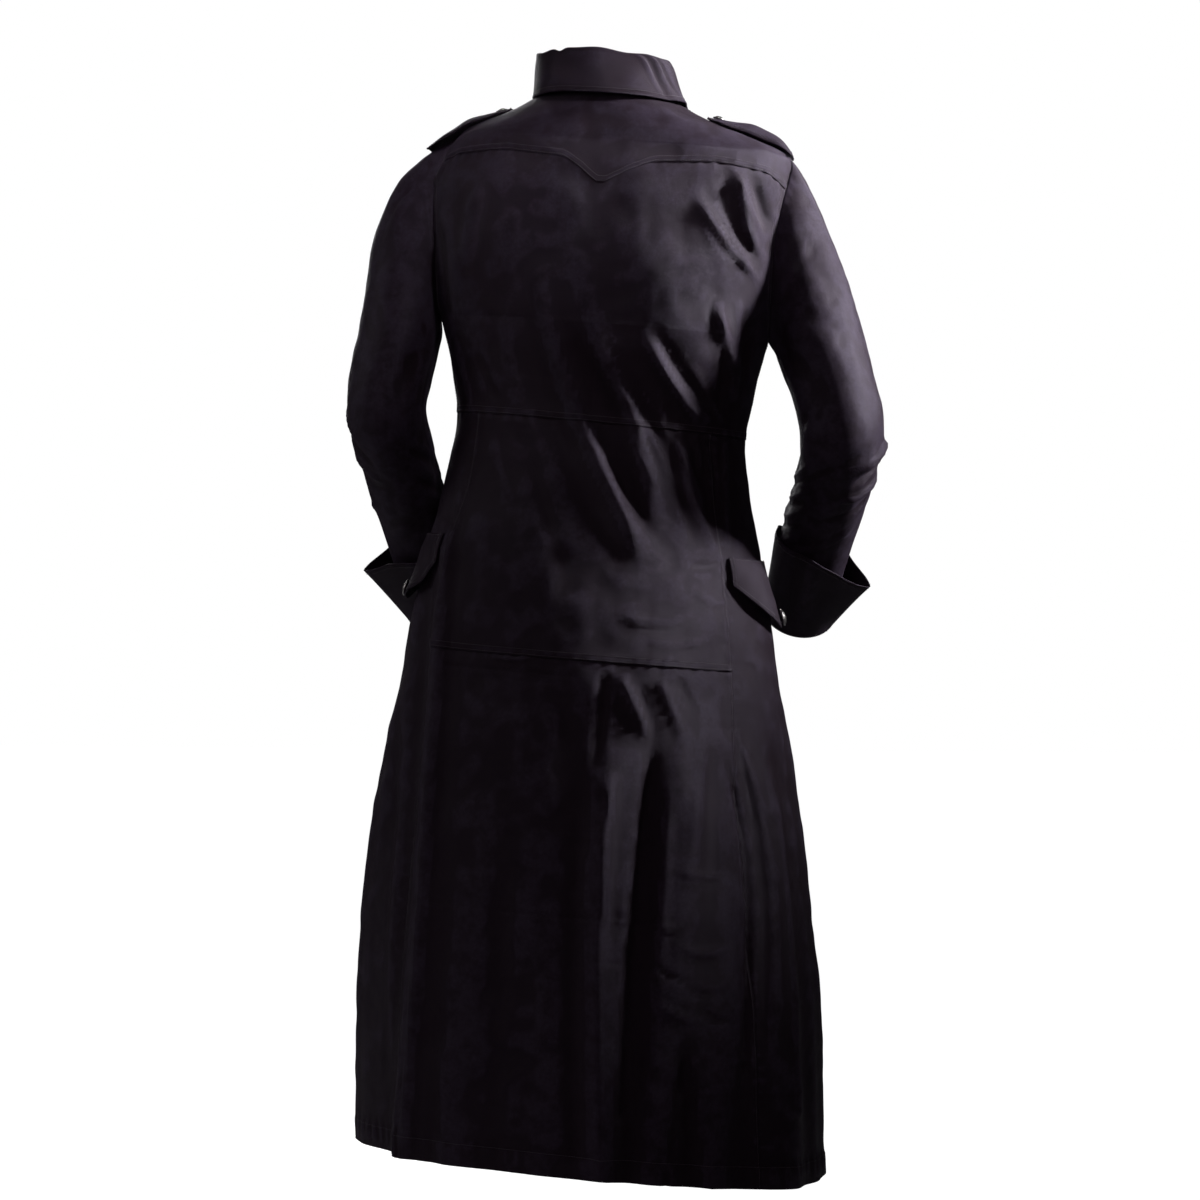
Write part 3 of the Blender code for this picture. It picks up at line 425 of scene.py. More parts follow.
fineCreases = (
    (72, -240, 22, -403, -62, -578, 11, 13, 4.6, 0.3, 0.2, 0.6, 0.25),
    (13, -253, -40, -371, -103, -478, 9, 11, -3.8, 0.3, 0.3, 0.3),
    (48, -290, 7, -396, -50, -503, 9, 10, -2.9, 0.3, 0.3, 0.3),
    (33, -217, -5, -335, -68, -448, 9, 10, 3.5, 0.3, 0.3, 0.6, 0.2),
    (-50, -289, -85, -359, -126, -414, 8, 9, 3.2, 0.3, 0.2, 0.6, 0.2),
    (-65, -284, -100, -352, -140, -410, 7, 8, -2.6, 0.3, 0.2, 0.3),
    (-139, -260, -152, -309, -161, -359, 8, 8, 2.9, 0.3, 0.3, 0.5),
    (-106, -335, -129, -375, -147, -414, 7, 7, 2.6, 0.3, 0.1, 0.5),
    (-69, -367, -74, -389, -77, -410, 6, 6, 2.2, 0.3, 0.1, 0.4),
    (-90, -431, -98, -453, -101, -474, 7, 7, 2.9, 0.1, 0.3, 0.5),
    (-91, -516, -99, -527, -106, -542, 6, 6, 2.3, 0.3, 0.3, 0.4),
    (-110, -506, -128, -541, -139, -576, 8, 8, 3.2, 0.3, 0.3, 0.5, 0.2),
    (-77, -465, -100, -515, -120, -568, 8, 9, -2.8, 0.3, 0.3, 0.3),
    (-62, -427, -77, -465, -90, -509, 7, 8, 2.3, 0.1, 0.3, 0.4),
    (5, -415, -30, -490, -72, -559, 10, 12, -3.2, 0.2, 0.3, 0.3),
    (62, -415, 55, -443, 45, -470, 6, 7, 1.7, 0.1, 0.4, 0.3),
    (25, -422, 13, -455, -3, -485, 6, 7, 2, 0.1, 0.4, 0.3),
    (-169, -253, -164, -318, -158, -390, 9, 9, 2.9, 0.3, 0.2, 0.4),
    (-154, -290, -147, -346, -140, -409, 8, 8, -2.3, 0.3, 0.2, 0.3),
    (-164, -105, -176, -158, -195, -217, 6, 7, 2.6, 0.2, 0.3, 0.7, 0.2),
    (-129, -105, -160, -177, -193, -253, 7, 8, 2.2, 0.3, 0.3, 0.5),
    (-113, -115, -133, -177, -155, -240, 14, 16, 1.5, 0.4, 0.4, 0.2),
    (184, -65, 203, -88, 223, -118, 6, 7, 2.3, 0.3, 0.3, 0.5),
    (198, -128, 185, -190, 175, -265, 12, 14, 1.8, 0.4, 0.4, 0.2),
    (205, -152, 198, -215, 193, -290, 8, 9, -2.3, 0.3, 0.3, 0.3),
    (190, -290, 173, -352, 160, -415, 9, 9, 2.2, 0.3, 0.2, 0.4),
    (163, -302, 140, -360, 120, -408, 10, 10, -1.9, 0.4, 0.2, 0.2),
    (118, -253, 113, -328, 100, -403, 16, 16, 1.3, 0.4, 0.3, 0.1),
    (138, -427, 122, -478, 105, -552, 13, 16, 1.4, 0.2, 0.4, 0.2),
    (88, -427, 62, -527, 25, -628, 15, 18, -1.8, 0.3, 0.4, 0.2),
    (175, -440, 180, -527, 182, -628, 10, 12, 1.7, 0.3, 0.3, 0.2),
    (-31, -719, -48, -756, -69, -799, 7, 8, 3.7, 0.1, 0.4, 0.6, 0.2),
    (-56, -728, -65, -768, -75, -805, 9, 10, -2.3, 0.1, 0.4, 0.3),
    (-98, -723, -109, -745, -120, -768, 8, 9, -2, 0.1, 0.4, 0.3),
    (-77, -723, -92, -759, -105, -796, 7, 8, 3, 0.1, 0.4, 0.4),
    (-13, -713, -7, -777, -3, -853, 10, 14, -3, 0.1, 0.4, 0.2),
    (-22, -815, -9, -1040, -14, -1315, 10, 12, 6.7, 0.2, 0, 0.7, -0.25),
    (6, -828, 18, -1040, 15, -1290, 16, 20, -2.8, 0.3, 0, 0.2),
    (-72, -805, -55, -953, -37, -1240, 9, 11, -6.7, 0.2, 0, 0.4),
    (-88, -828, -83, -978, -72, -1127, 10, 12, 4.3, 0.3, 0.3, 0.5),
    (-133, -753, -122, -878, -113, -1002, 11, 13, 3, 0.3, 0.4, 0.4),
    (-149, -809, -185, -978, -177, -1240, 9, 11, -5.3, 0.2, 0.1, 0.4),
    (-165, -777, -205, -953, -208, -1203, 9, 12, 4.3, 0.2, 0.2, 0.5),
    (-208, -853, -225, -1002, -238, -1252, 9, 11, 4, 0.3, 0, 0.5),
    (-113, -1153, -100, -1240, -88, -1340, 7, 9, -5, 0.2, 0, 0.4),
    (-113, -1153, -128, -1240, -143, -1347, 7, 9, 4.3, 0.2, 0, 0.5),
    (-68, -1005, -92, -1021, -115, -1012, 6, 6, 3.2, 0.3, 0.3, 0.4),
    (-100, -1034, -128, -1052, -165, -1042, 6, 7, 3.5, 0.3, 0.3, 0.4),
    (-65, -1052, -88, -1075, -118, -1085, 6, 6, -3, 0.3, 0.3, 0.3),
    (-113, -1078, -140, -1093, -173, -1078, 6, 6, 2.8, 0.3, 0.3, 0.4),
    (-72, -1105, -100, -1123, -133, -1135, 6, 7, 3, 0.3, 0.3, 0.4),
    (-128, -1115, -150, -1133, -170, -1127, 5, 6, -2.7, 0.3, 0.3, 0.3),
    (-37, -1140, -52, -1177, -50, -1228, 7, 8, 3, 0.3, 0.3, 0.4),
    (125, -840, 133, -1040, 138, -1315, 26, 34, 2.3, 0.4, 0, 0.1),
    (175, -902, 190, -1103, 198, -1315, 16, 20, -2.3, 0.4, 0, 0.2),
    (75, -953, 77, -1127, 83, -1315, 22, 28, -1.9, 0.4, 0, 0.1),
    (212, -828, 223, -1002, 240, -1302, 7, 8, -4, 0.2, 0, 0.4),
    (273, -753, 283, -953, 297, -1290, 12, 16, 2.3, 0.3, 0, 0.3),
    (258, -728, 265, -902, 278, -1252, 9, 12, -2.7, 0.3, 0.1, 0.3),
    (138, -693, 100, -699, 62, -690, 5, 5, 2, 0.3, 0.3, 0.3),
    (-110, -586, -126, -588, -143, -586, 5, 5, -2.6, 0.3, 0.3, 0.4),
    (60, -740, 50, -777, 55, -828, 16, 18, 1.5, 0.3, 0.4, 0.1),
    (88, -52, 62, -77, 31, -90, 8, 9, 1.7, 0.4, 0.4, 0.3),
    (-182, -105, -194, -143, -205, -180, 10, 10, -6.1, 0.3, 0.3, 0.2),
    (-160, -95, -178, -145, -202, -195, 7, 8, 4.3, 0.25, 0.3, 0.6, 0.2),
    (-118, -135, -150, -185, -196, -243, 7, 8, 4.6, 0.25, 0.25, 0.6, 0.2),
    (-140, -132, -166, -177, -196, -226, 7, 8, -3.8, 0.3, 0.3, 0.3),
    (20, -300, -12, -352, -50, -398, 5, 6, 2.5, 0.3, 0.2, 0.5, 0.2),
    (0, -325, -30, -362, -62, -405, 5, 5, -2.2, 0.3, 0.2, 0.3),
    (-30, -420, -52, -462, -78, -500, 5, 6, 2.3, 0.1, 0.3, 0.5, 0.2),
    (-48, -418, -60, -440, -70, -465, 4, 5, -1.9, 0.1, 0.3, 0.3),
    (-112, -425, -118, -450, -121, -480, 5, 5, 2.3, 0.1, 0.3, 0.5),
    (-128, -428, -136, -470, -140, -520, 6, 6, -2, 0.1, 0.3, 0.3),
    (-148, -430, -150, -500, -156, -580, 7, 8, 2.3, 0.1, 0.3, 0.4),
    (-118, -385, -126, -398, -131, -409, 4, 4, 1.9, 0.3, 0.1, 0.4),
    (-86, -385, -92, -398, -98, -409, 4, 4, 1.7, 0.3, 0.1, 0.4),
    (-20, -640, -70, -655, -120, -645, 7, 8, 2.3, 0.3, 0.3, 0.3),
    (-50, -668, -95, -682, -140, -670, 6, 7, 2.5, 0.3, 0.3, 0.3),
    (-110, -610, -135, -628, -160, -632, 6, 6, 2.5, 0.3, 0.3, 0.4),
    (-40, -900, -62, -918, -90, -925, 6, 7, 2.3, 0.3, 0.3, 0.4),
    (-95, -945, -125, -960, -160, -955, 6, 7, 2.5, 0.3, 0.3, 0.4),
    (-30, -985, -48, -1010, -62, -1040, 6, 7, 2.3, 0.3, 0.3, 0.4),
    (-150, -1160, -172, -1180, -200, -1178, 6, 6, 2.5, 0.3, 0.3, 0.4),
    (-90, -1175, -72, -1200, -58, -1235, 6, 6, 2.3, 0.3, 0.3, 0.4),
    (0, -65, -50, -52, -113, -65, 10, 10, 1.4, 0.4, 0.4, 0.2),
)
yokeSeam = ((0.00, 0.122), (0.036, 0.101), (0.072, 0.086), (0.20, 0.080), (0.36, 0.086), (0.50, 0.104))


def through(keys, values, at):
    # smooth curve through values at keys, straight beyond its ends
    keys = np.asarray(keys, float)
    values = np.asarray(values, float)
    asked = np.asarray(at, float)
    at = np.clip(asked, keys[0], keys[-1])
    gaps = np.diff(keys)
    rises = np.diff(values) / gaps
    slopes = np.empty(len(keys))
    slopes[0], slopes[-1] = rises[0], rises[-1]
    product = rises[:-1] * rises[1:]
    total = rises[:-1] + rises[1:]
    slopes[1:-1] = np.where(product > 0.0, 2.0 * product / np.where(product > 0.0, total, 1.0), 0.0)
    cell = np.clip(np.searchsorted(keys, at, side="right") - 1, 0, len(gaps) - 1)
    share = (at - keys[cell]) / gaps[cell]
    square, cube = share ** 2, share ** 3
    leave, arrive = gaps[cell] * slopes[cell], gaps[cell] * slopes[cell + 1]
    start = (2.0 * cube - 3.0 * square + 1.0) * values[cell] + (cube - 2.0 * square + share) * leave
    end = (3.0 * square - 2.0 * cube) * values[cell + 1] + (cube - square) * arrive
    beyond = np.minimum(asked - keys[0], 0.0) * slopes[0] + np.maximum(asked - keys[-1], 0.0) * slopes[-1]
    return start + end + beyond


def softStep(share):
    share = np.clip(share, 0.0, 1.0)
    return share * share * (3.0 - 2.0 * share)


def unit(vectors):
    return vectors / np.linalg.norm(vectors, axis=-1, keepdims=True)


def tableColumn(rows, names, name):
    return [row[names.index(name)] for row in rows]


def bodyValue(name, drop):
    return through(tableColumn(bodySections, sectionColumns, "drop"),
                   tableColumn(bodySections, sectionColumns, name), drop)


def bodyBase(around, drop):
    # around is 0 at the centre back, 0.5 at the left side, 1 at the centre front
    around, drop = np.broadcast_arrays(np.asarray(around, float), np.asarray(drop, float))
    power = 2.0 / bodyValue("square", drop)
    side, rear = np.sin(np.pi * around), np.cos(np.pi * around)
    depth = np.where(rear > 0.0, bodyValue("back", drop), bodyValue("front", drop))
    centre = bodyValue("shift", drop)
    x = centre + bodyValue("halfWidth", drop) * np.sign(side) * np.abs(side) ** power
    y = depth * np.sign(rear) * np.abs(rear) ** power
    sideLevel = bodyValue("sideLevel", drop)
    endLevel = np.where(rear > 0.0, bodyValue("backLevel", drop), bodyValue("frontLevel", drop))
    z = sideLevel + (endLevel - sideLevel) * rear * rear + bodyValue("tilt", drop) * (x - centre)
    return np.stack([x, y, z], axis=-1)


def surfaceNormals(surface, first, second, step=0.002):
    across = surface(first + step, second) - surface(first - step, second)
    down = surface(first, second + step) - surface(first, second - step)
    return unit(np.cross(across, down))


def ridgeLine(begin, middle, end, count):
    # a curve that is at its middle place halfway along
    handle = 2.0 * middle - 0.5 * (begin + end)
    shares = np.linspace(0.0, 1.0, count)[:, None]
    return (1 - shares) ** 2 * begin + 2 * shares * (1 - shares) * handle + shares ** 2 * end


def besideLine(places, line):
    # each place's distance from the line, its share along it, and on which side it lies
    start, run = line[:-1], np.diff(line, axis=0)
    spots = places[..., None, :]
    along = np.clip(((spots - start) * run).sum(-1) / (run * run).sum(-1), 0.0, 1.0)
    gap = spots - start - along[..., None] * run
    away = np.linalg.norm(gap, axis=-1)
    nearest = away.argmin(axis=-1)[..., None]
    turned = run[:, 0] * gap[..., 1] - run[:, 1] * gap[..., 0]
    distance, step, side = (np.take_along_axis(kept, nearest, -1)[..., 0] for kept in (away, along, turned))
    return distance, (nearest[..., 0] + step) / len(run), side


def bell(distance, reach, peak):
    return (0.5 + 0.5 * np.cos(np.pi * np.clip(distance / reach, 0.0, 1.0))) ** (1.0 + peak)


def foldHeight(points, normals):
    facing = {"back": normals[..., 1], "front": -normals[..., 1],
              "left": normals[..., 0], "right": -normals[..., 0]}
    total = np.zeros(points.shape[:-1])
    rows = [(face, row) for face, folds in largeFolds.items() for row in folds]
    for face, row in rows + [("back", row) for row in fineCreases]:
        begin, middle, end = np.array(row[:6]).reshape(3, 2) / 1000
        firstReach, lastReach, height = np.array(row[6:9]) / 1000
        fadeIn, fadeOut, peak, lean = (row[9:] + (0.0, 0.0))[:4]
        line = ridgeLine(begin, middle, end, 13)
        place = np.stack([points[..., 0 if face in ("back", "front") else 1], points[..., 2]], axis=-1)
        room = 1.7 * max(firstReach, lastReach)
        near = ((place > line.min(axis=0) - room) & (place < line.max(axis=0) + room)).all(axis=-1)
        near &= facing[face] > 0.0
        if not near.any():
            continue
        distance, along, turned = besideLine(place[near], line)
        reach = (firstReach + (lastReach - firstReach) * along) * (1.0 + lean * np.sign(turned))
        swell = bell(distance, reach, peak)
        if fadeIn > 0.0:
            swell = swell * softStep(along / fadeIn)
        if fadeOut > 0.0:
            swell = swell * softStep((1.0 - along) / fadeOut)
        total[near] += height * swell * softStep(facing[face][near] / 0.4)
    return total


def waviness(points, height, shortest, longest, seed):
    # the slack of worn cloth: many soft waves, laid in every direction
    draw = np.random.default_rng(seed)
    total = np.zeros(points.shape[:-1])
    count = 22
    for length in draw.uniform(shortest, longest, count):
        heading = unit(draw.normal(size=3) * np.array([1.0, 1.0, 0.75]))
        total += np.sin(points @ heading * (2.0 * np.pi / length) + draw.uniform(0.0, 2.0 * np.pi))
    return height * total * math.sqrt(2.0 / count)


def slack(points):
    return (waviness(points, coat["unevenness"], *coat["longWaves"], 3)
            + waviness(points, coat["crumple"], *coat["shortWaves"], 4))


def bodySurface(around, drop):
    base = bodyBase(around, drop)
    normals = surfaceNormals(bodyBase, around, drop)
    return base + normals * (foldHeight(base, normals) + slack(base))[..., None]


def bodyGrid(columns, drops, half):
    # panel columns run 0 to 1 from the centre back to the front, and part round the armhole
    columns, drops = np.broadcast_arrays(columns, drops)
    height = np.clip((drops - coat["shoulder"]) / (coat["armhole"] - coat["shoulder"]), 0.0, 1.0)
    opening = np.sin(np.pi * height) ** coat["armholeRound"]
    size = np.abs(columns)
    if half == "back":
        around = size * (1.0 - coat["armholeBack"] * opening)
    else:
        around = 1.0 - (1.0 - size) * (1.0 - coat["armholeFront"] * opening)
    return bodySurface(np.sign(columns) * around, drops)


# Panels: even rows, closer at the seams
def edgedShares(length, closeStart=True, closeEnd=True):
    close = np.arange(0.0, coat["edgeBand"] + 1e-6, coat["fine"])
    start = close if closeStart else np.zeros(1)
    end = length - close[::-1] if closeEnd else np.array([length])
    count = max(2, math.ceil((end[0] - start[-1]) / coat["coarse"]))
    middle = np.linspace(start[-1], end[0], count + 1)[1:-1]
    return np.concatenate([start, middle, end]) / length


def rowsBetween(*stops):
    stops = np.broadcast_arrays(*stops)
    rows = []
    for number, (start, end) in enumerate(zip(stops[:-1], stops[1:])):
        depth = float(np.max(end - start))
        shares = edgedShares(depth, number == 0, number == len(stops) - 2)
        rows += [start + (end - start) * share for share in shares[:-1]]
    rows.append(stops[-1])
    return np.array(rows)


def stepsAlong(points):
    steps = np.linalg.norm(np.diff(points, axis=0), axis=-1)
    return np.concatenate([np.zeros((1, points.shape[1])), np.cumsum(steps, axis=0)])


def gridNormals(points, closed=False):
    if closed:
        wide = np.concatenate([points[:, -1:], points, points[:, :1]], axis=1)
        across = np.gradient(wide, axis=1)[:, 1:-1]
    else:
        across = np.gradient(points, axis=1)
    return unit(np.cross(across, np.gradient(points, axis=0)))


seamWork = {
    "lip": 0.0008, "lipWidth": 0.0095, "valley": 0.0003, "valleyWidth": 0.0020,
    "pucker": 0.00050, "puckerLength": 0.017, "puckerReach": 0.011,
    "hemDepth": 0.026, "hemStep": 0.0008, "hemBand": 0.012, "rowNear": 0.0020, "rowFar": 0.0082,
    "rowSunk": 0.00035, "rowWidth": 0.0014, "edgeFall": 0.004,
}


def seamRelief(kind, away, along, seed):
    # lapped: the panel on top, with its allowance under it. under: the panel that it covers
    phase = np.sin(along * 23.0 + seed) * 1.7 + np.sin(along * 57.0 + 2.0 * seed) * 0.9
    swing = np.sin(along * 2.0 * np.pi / seamWork["puckerLength"] + phase)
    pucker = seamWork["pucker"] * swing * np.exp(-(away / seamWork["puckerReach"]) ** 2)
    if kind == "none":
        return 0.0 * away
    if kind == "flat":
        return 0.35 * pucker
    if kind == "under":
        return pucker - seamWork["valley"] * np.exp(-(away / (1.6 * seamWork["valleyWidth"])) ** 2)
    fall = seamWork["edgeFall"]
    if kind == "hem":
        turnUp = seamWork["hemStep"] * softStep((seamWork["hemDepth"] + fall / 2 - away) / fall)
        band = away - seamWork["hemDepth"] + fall
        return turnUp + 2.0 * seamWork["pucker"] * swing * np.exp(-(band / seamWork["hemBand"]) ** 2)
    lip = seamWork["lip"] * softStep((seamWork["lipWidth"] + fall / 2 - away) / fall)
    stitched = (seamWork["rowNear"], seamWork["rowFar"])
    rows = sum(np.exp(-((away - row) / seamWork["rowWidth"]) ** 2) for row in stitched)
    return lip + pucker - seamWork["rowSunk"] * rows


stitchPaths = {}


def stitchAlong(group, points, normals, side, away):
    # keep the path of a row of stitches at a distance from one side of a panel
    if side in "lr":
        points, normals = points.swapaxes(0, 1), normals.swapaxes(0, 1)
    if side in "br":
        points, normals = points[::-1], normals[::-1]
    lengths = stepsAlong(points)

    def at(values):
        columns = range(values.shape[1])
        return np.array([[np.interp(away, lengths[:, column], values[:, column, axis]) for axis in range(3)]
                         for column in columns])

    stitchPaths.setdefault(group, []).append((at(points), unit(at(normals))))


def addItem(name, mesh, material):
    mesh.materials.append(material)
    item = bpy.data.objects.new(name, mesh)
    bpy.context.collection.objects.link(item)
    return item


def meshOf(name, vertices, quads):
    mesh = bpy.data.meshes.new(name)
    mesh.vertices.add(len(vertices))
    mesh.vertices.foreach_set("co", np.asarray(vertices, np.float32).ravel())
    mesh.loops.add(4 * len(quads))
    mesh.loops.foreach_set("vertex_index", np.asarray(quads, np.int32).ravel())
    mesh.polygons.add(len(quads))
    mesh.polygons.foreach_set("loop_start", np.arange(0, 4 * len(quads), 4, dtype=np.int32))
    mesh.update(calc_edges=True)
    mesh.shade_smooth()
    return addItem(name, mesh, blackTwill)


def crestOf(points, normals, closed):
    # how far each place stands out from the cloth round it, for the rubbed ridges with their painted
    # highlight and for the painted shade in the troughs
    soft = points.copy()
    for _ in range(3):
        padded = np.pad(soft, ((2, 2), (2, 2), (0, 0)), mode="edge")
        if closed:
            padded[:, :2], padded[:, -2:] = padded[:, -4:-2], padded[:, 2:4]
        soft = (padded[:-4, 2:-2] + padded[4:, 2:-2] + padded[2:-2, :-4] + padded[2:-2, 4:]) / 4
    crest = ((points - soft) * normals).sum(-1)
    return np.clip(crest / wearAndShadeScales["ridge"], -1.0, 1.0)


def clothShell(name, outer, normals, closed=False, roundSides=""):
    # closed wall of cloth, with soft edges on the sides that are free
    wall = coat["cloth"]
    rows, columns = outer.shape[:2]
    inner = outer - wall * normals
    count = rows * columns
    number = np.arange(count).reshape(rows, columns)
    after = np.roll(number, -1, axis=1) if closed else number[:, 1:]
    before = number if closed else number[:, :-1]
    quads = np.stack([before[:-1], after[:-1], after[1:], before[1:]], axis=-1).reshape(-1, 4)
    vertices = [outer.reshape(-1, 3), inner.reshape(-1, 3)]
    faces = [quads, quads[:, ::-1] + count]
    used = 2 * count
    lengths = stepsAlong(outer)
    widths = stepsAlong(outer.swapaxes(0, 1)).T
    flat = np.stack([widths, lengths], axis=-1).reshape(-1, 2)
    crest = crestOf(outer, normals, closed).ravel()
    flats, crests = [flat, flat], [crest, 0.3 * crest]
    sides = [("t", number[0], outer[0] - outer[1]), ("b", number[-1][::-1], (outer[-1] - outer[-2])[::-1])]
    if not closed:
        sides += [("l", number[::-1, 0], (outer[:, 0] - outer[:, 1])[::-1]),
                  ("r", number[:, -1], outer[:, -1] - outer[:, -2])]
    for side, edge, outward in sides:
        push = 0.42 * wall if side in roundSides else 0.0
        middle = 0.5 * (vertices[0][edge] + vertices[1][edge]) + push * unit(outward)
        line = used + np.arange(len(edge))
        vertices.append(middle)
        flats.append(flat[edge])
        # the rounded free edges count as ridges, so they take the lighter rubbed tone, partly wear and partly
        # painted highlight
        crests.append(np.full(len(edge), 0.9 if push else 0.0))
        used += len(edge)
        here = np.arange(len(edge) if closed else len(edge) - 1)
        then = (here + 1) % len(edge)
        faces.append(np.stack([edge[then], edge[here], line[here], line[then]], axis=-1))
        faces.append(np.stack([line[then], line[here], edge[here] + count, edge[then] + count], axis=-1))
    vertices, faces = np.concatenate(vertices), np.concatenate(faces)
    corners = vertices[faces]
    volume = (corners[:, 0] * np.cross(corners[:, 1], corners[:, 2])).sum()
    volume += (corners[:, 0] * np.cross(corners[:, 2], corners[:, 3])).sum()
    if volume < 0.0:
        faces = faces[:, ::-1]
    item = meshOf(name + "_cloth", vertices, faces)
    uvs = np.concatenate(flats)[faces.ravel()]
    item.data.uv_layers.new(name="cloth").data.foreach_set("uv", uvs.astype(np.float32).ravel())
    item.data.attributes.new("crest", "FLOAT", "POINT").data.foreach_set(
        "value", np.concatenate(crests).astype(np.float32))
    return item


sewn = {}


def finishPanel(name, points, kinds, stitchRows, group, seed, roundSides=""):
    # kinds gives the seam on each side, as in {"t": "lapped", "b": "hem"}
    down = stepsAlong(points)
    over = stepsAlong(points.swapaxes(0, 1)).T
    distance = {"t": down, "b": down[-1:] - down, "l": over, "r": over[:, -1:] - over}
    along = {"t": over, "b": over, "l": down, "r": down}
    normals = gridNormals(points)
    outward = facingOut(points, normals)
    relief = 0.0
    for number, (side, kind) in enumerate(kinds.items()):
        relief = relief + seamRelief(kind, distance[side], along[side], seed + 3.1 * number)
    points = points + outward * np.asarray(relief)[..., None]
    pulled = points.copy()
    gap = coat["seamGap"]
    pulled[0] += gap * unit(points[1] - points[0])
    pulled[-1] += gap * unit(points[-2] - points[-1])
    pulled[:, 0] += gap * unit(points[:, 1] - points[:, 0])
    pulled[:, -1] += gap * unit(points[:, -2] - points[:, -1])
    outward = facingOut(pulled, gridNormals(pulled))
    sewn[name] = clothShell(name, pulled, outward, roundSides=roundSides)
    for side, away in stitchRows:
        stitchAlong(group, pulled, outward, side, away)
    return pulled, outward


def turnedLike(normals, wanted):
    return normals * np.sign((normals * wanted).sum())


def facingOut(points, normals):
    middle = points.reshape(-1, 3).mean(axis=0)
    axis = np.array([0.01, 0.0, middle[2]])
    out = ((middle - axis) * normals[normals.shape[0] // 2, normals.shape[1] // 2]).sum()
    return normals if out > 0.0 else -normals


def yokeLine(columns):
    places, drops = zip(*yokeSeam)
    return np.interp(np.abs(columns), places, drops)


def panelGrid(first, last, width, half, *stops):
    # rows run between the stops, which are drops or functions of the columns
    columns = first + (last - first) * edgedShares(width)
    drops = [stop(columns) if callable(stop) else stop for stop in stops]
    return bodyGrid(columns, rowsBetween(0.0 * columns + drops[0], *drops[1:]), half)


near, far = seamWork["rowNear"], seamWork["rowFar"]
hemRow = seamWork["hemDepth"]
flatWidths = {"back": 0.50, "hip": 0.36, "frontBodice": 0.27, "side": 0.50, "frontSkirt": 0.34}


def sewBack():
    shoulder, armhole, waist, seat, hem = (
        coat[level] for level in ("shoulder", "armhole", "waist", "seat", "hem"))
    wide = flatWidths["back"]
    finishPanel("back_yoke", panelGrid(-0.5, 0.5, wide, "back", 0.0, shoulder, yokeLine),
                {"t": "flat", "b": "lapped", "l": "flat", "r": "flat"},
                [("b", near), ("b", far), ("l", near), ("r", near)], "stitches_back", 1.0)
    finishPanel("back_bodice", panelGrid(-0.5, 0.5, wide, "back", yokeLine, armhole, waist),
                {"t": "under", "b": "lapped", "l": "flat", "r": "flat"},
                [("b", near), ("b", far), ("l", near), ("l", far), ("r", near), ("r", far)],
                "stitches_back", 2.0)
    end, wide = coat["sideBack"], flatWidths["hip"]
    finishPanel("back_hip", panelGrid(-end, end, wide, "back", waist, seat),
                {"t": "under", "b": "lapped", "l": "lapped", "r": "lapped"},
                [("b", near), ("b", far), ("l", near), ("r", near)], "stitches_back", 3.0)
    finishPanel("back_skirt", panelGrid(-end, end, wide, "back", seat, hem),
                {"t": "under", "b": "hem", "l": "lapped", "r": "lapped"},
                [("b", hemRow), ("l", near), ("r", near)], "stitches_back", 4.0, "b")


def sewFrontsAndSides():
    for side, sign in (("left", 1.0), ("right", -1.0)):
        backEdge, frontEdge = ("l", "r") if sign > 0 else ("r", "l")
        ends = sorted((0.5 * sign, sign))
        points = panelGrid(*ends, flatWidths["frontBodice"], "front", 0.0, coat["shoulder"], coat["armhole"],
                           coat["waist"])
        finishPanel("front_bodice_" + side, points,
                    {"t": "flat", "b": "lapped", "l": "flat", "r": "flat"},
                    [("b", near), ("b", far), (backEdge, near)], "stitches_front", 5.0 + sign)
        ends = sorted((coat["sideBack"] * sign, coat["sideFront"] * sign))
        points = panelGrid(*ends, flatWidths["side"], "back", coat["waist"], coat["hem"])
        finishPanel("side_skirt_" + side, points,
                    {"t": "under", "b": "hem", backEdge: "under", frontEdge: "lapped"},
                    [("b", hemRow), (frontEdge, near)], "stitches_sides", 7.0 + sign, "b")
        ends = sorted((coat["sideFront"] * sign, sign))
        points = panelGrid(*ends, flatWidths["frontSkirt"], "back", coat["waist"], coat["hem"])
        finishPanel("front_skirt_" + side, points,
                    {"t": "under", "b": "hem", backEdge: "under", frontEdge: "flat"},
                    [("b", hemRow)], "stitches_front", 9.0 + sign, "b")


sewBack()
sewFrontsAndSides()
print("body panels sewn:", len(sewn))

# Collar
collar = {
    "tilt": 0.075, "wave": 0.0013, "notch": 0.0040, "notchAt": 0.047, "notchWidth": 0.006,
    "sag": 0.0045, "sagAt": 0.42, "sagWidth": 0.20, "fold": 0.048, "standEnd": 0.985, "fallEnd": 0.930,
    "around": 210, "edgeStitch": 0.0060, "standStitch": 0.0030, "slack": 0.0013, "ripple": 0.0012,
    "longWaves": (0.05, 0.11),
    "crumples": ((0.225, 0.0026), (0.262, -0.0030), (0.300, 0.0034), (0.345, -0.0030)), "crumpleWidth": 0.014,
    "rowSunk": 0.0005,
}
collarColumns = ("halfWidth", "back", "front", "shift", "sideLevel", "backLevel", "frontLevel")
standSections = (
    (0.0860, 0.0720, 0.0800, 0.000, -0.0020, 0.0010, -0.0270),
    (0.0835, 0.0710, 0.0780, 0.004, 0.0220, 0.0240, -0.0050),
    (0.0800, 0.0690, 0.0750, 0.008, 0.0450, 0.0470, 0.0190),
)
fallSections = (
    (0.0795, 0.0685, 0.0745, 0.008, 0.0487, 0.0507, 0.0227),
    (0.0835, 0.0730, 0.0785, 0.008, 0.0475, 0.0500, 0.0215),
    (0.0865, 0.0765, 0.0815, 0.006, 0.0400, 0.0430, 0.0140),
    (0.0920, 0.0820, 0.0870, 0.003, 0.0180, 0.0190, -0.0130),
    (0.0985, 0.0880, 0.0930, 0.000, -0.0030, -0.0060, -0.0400),
)


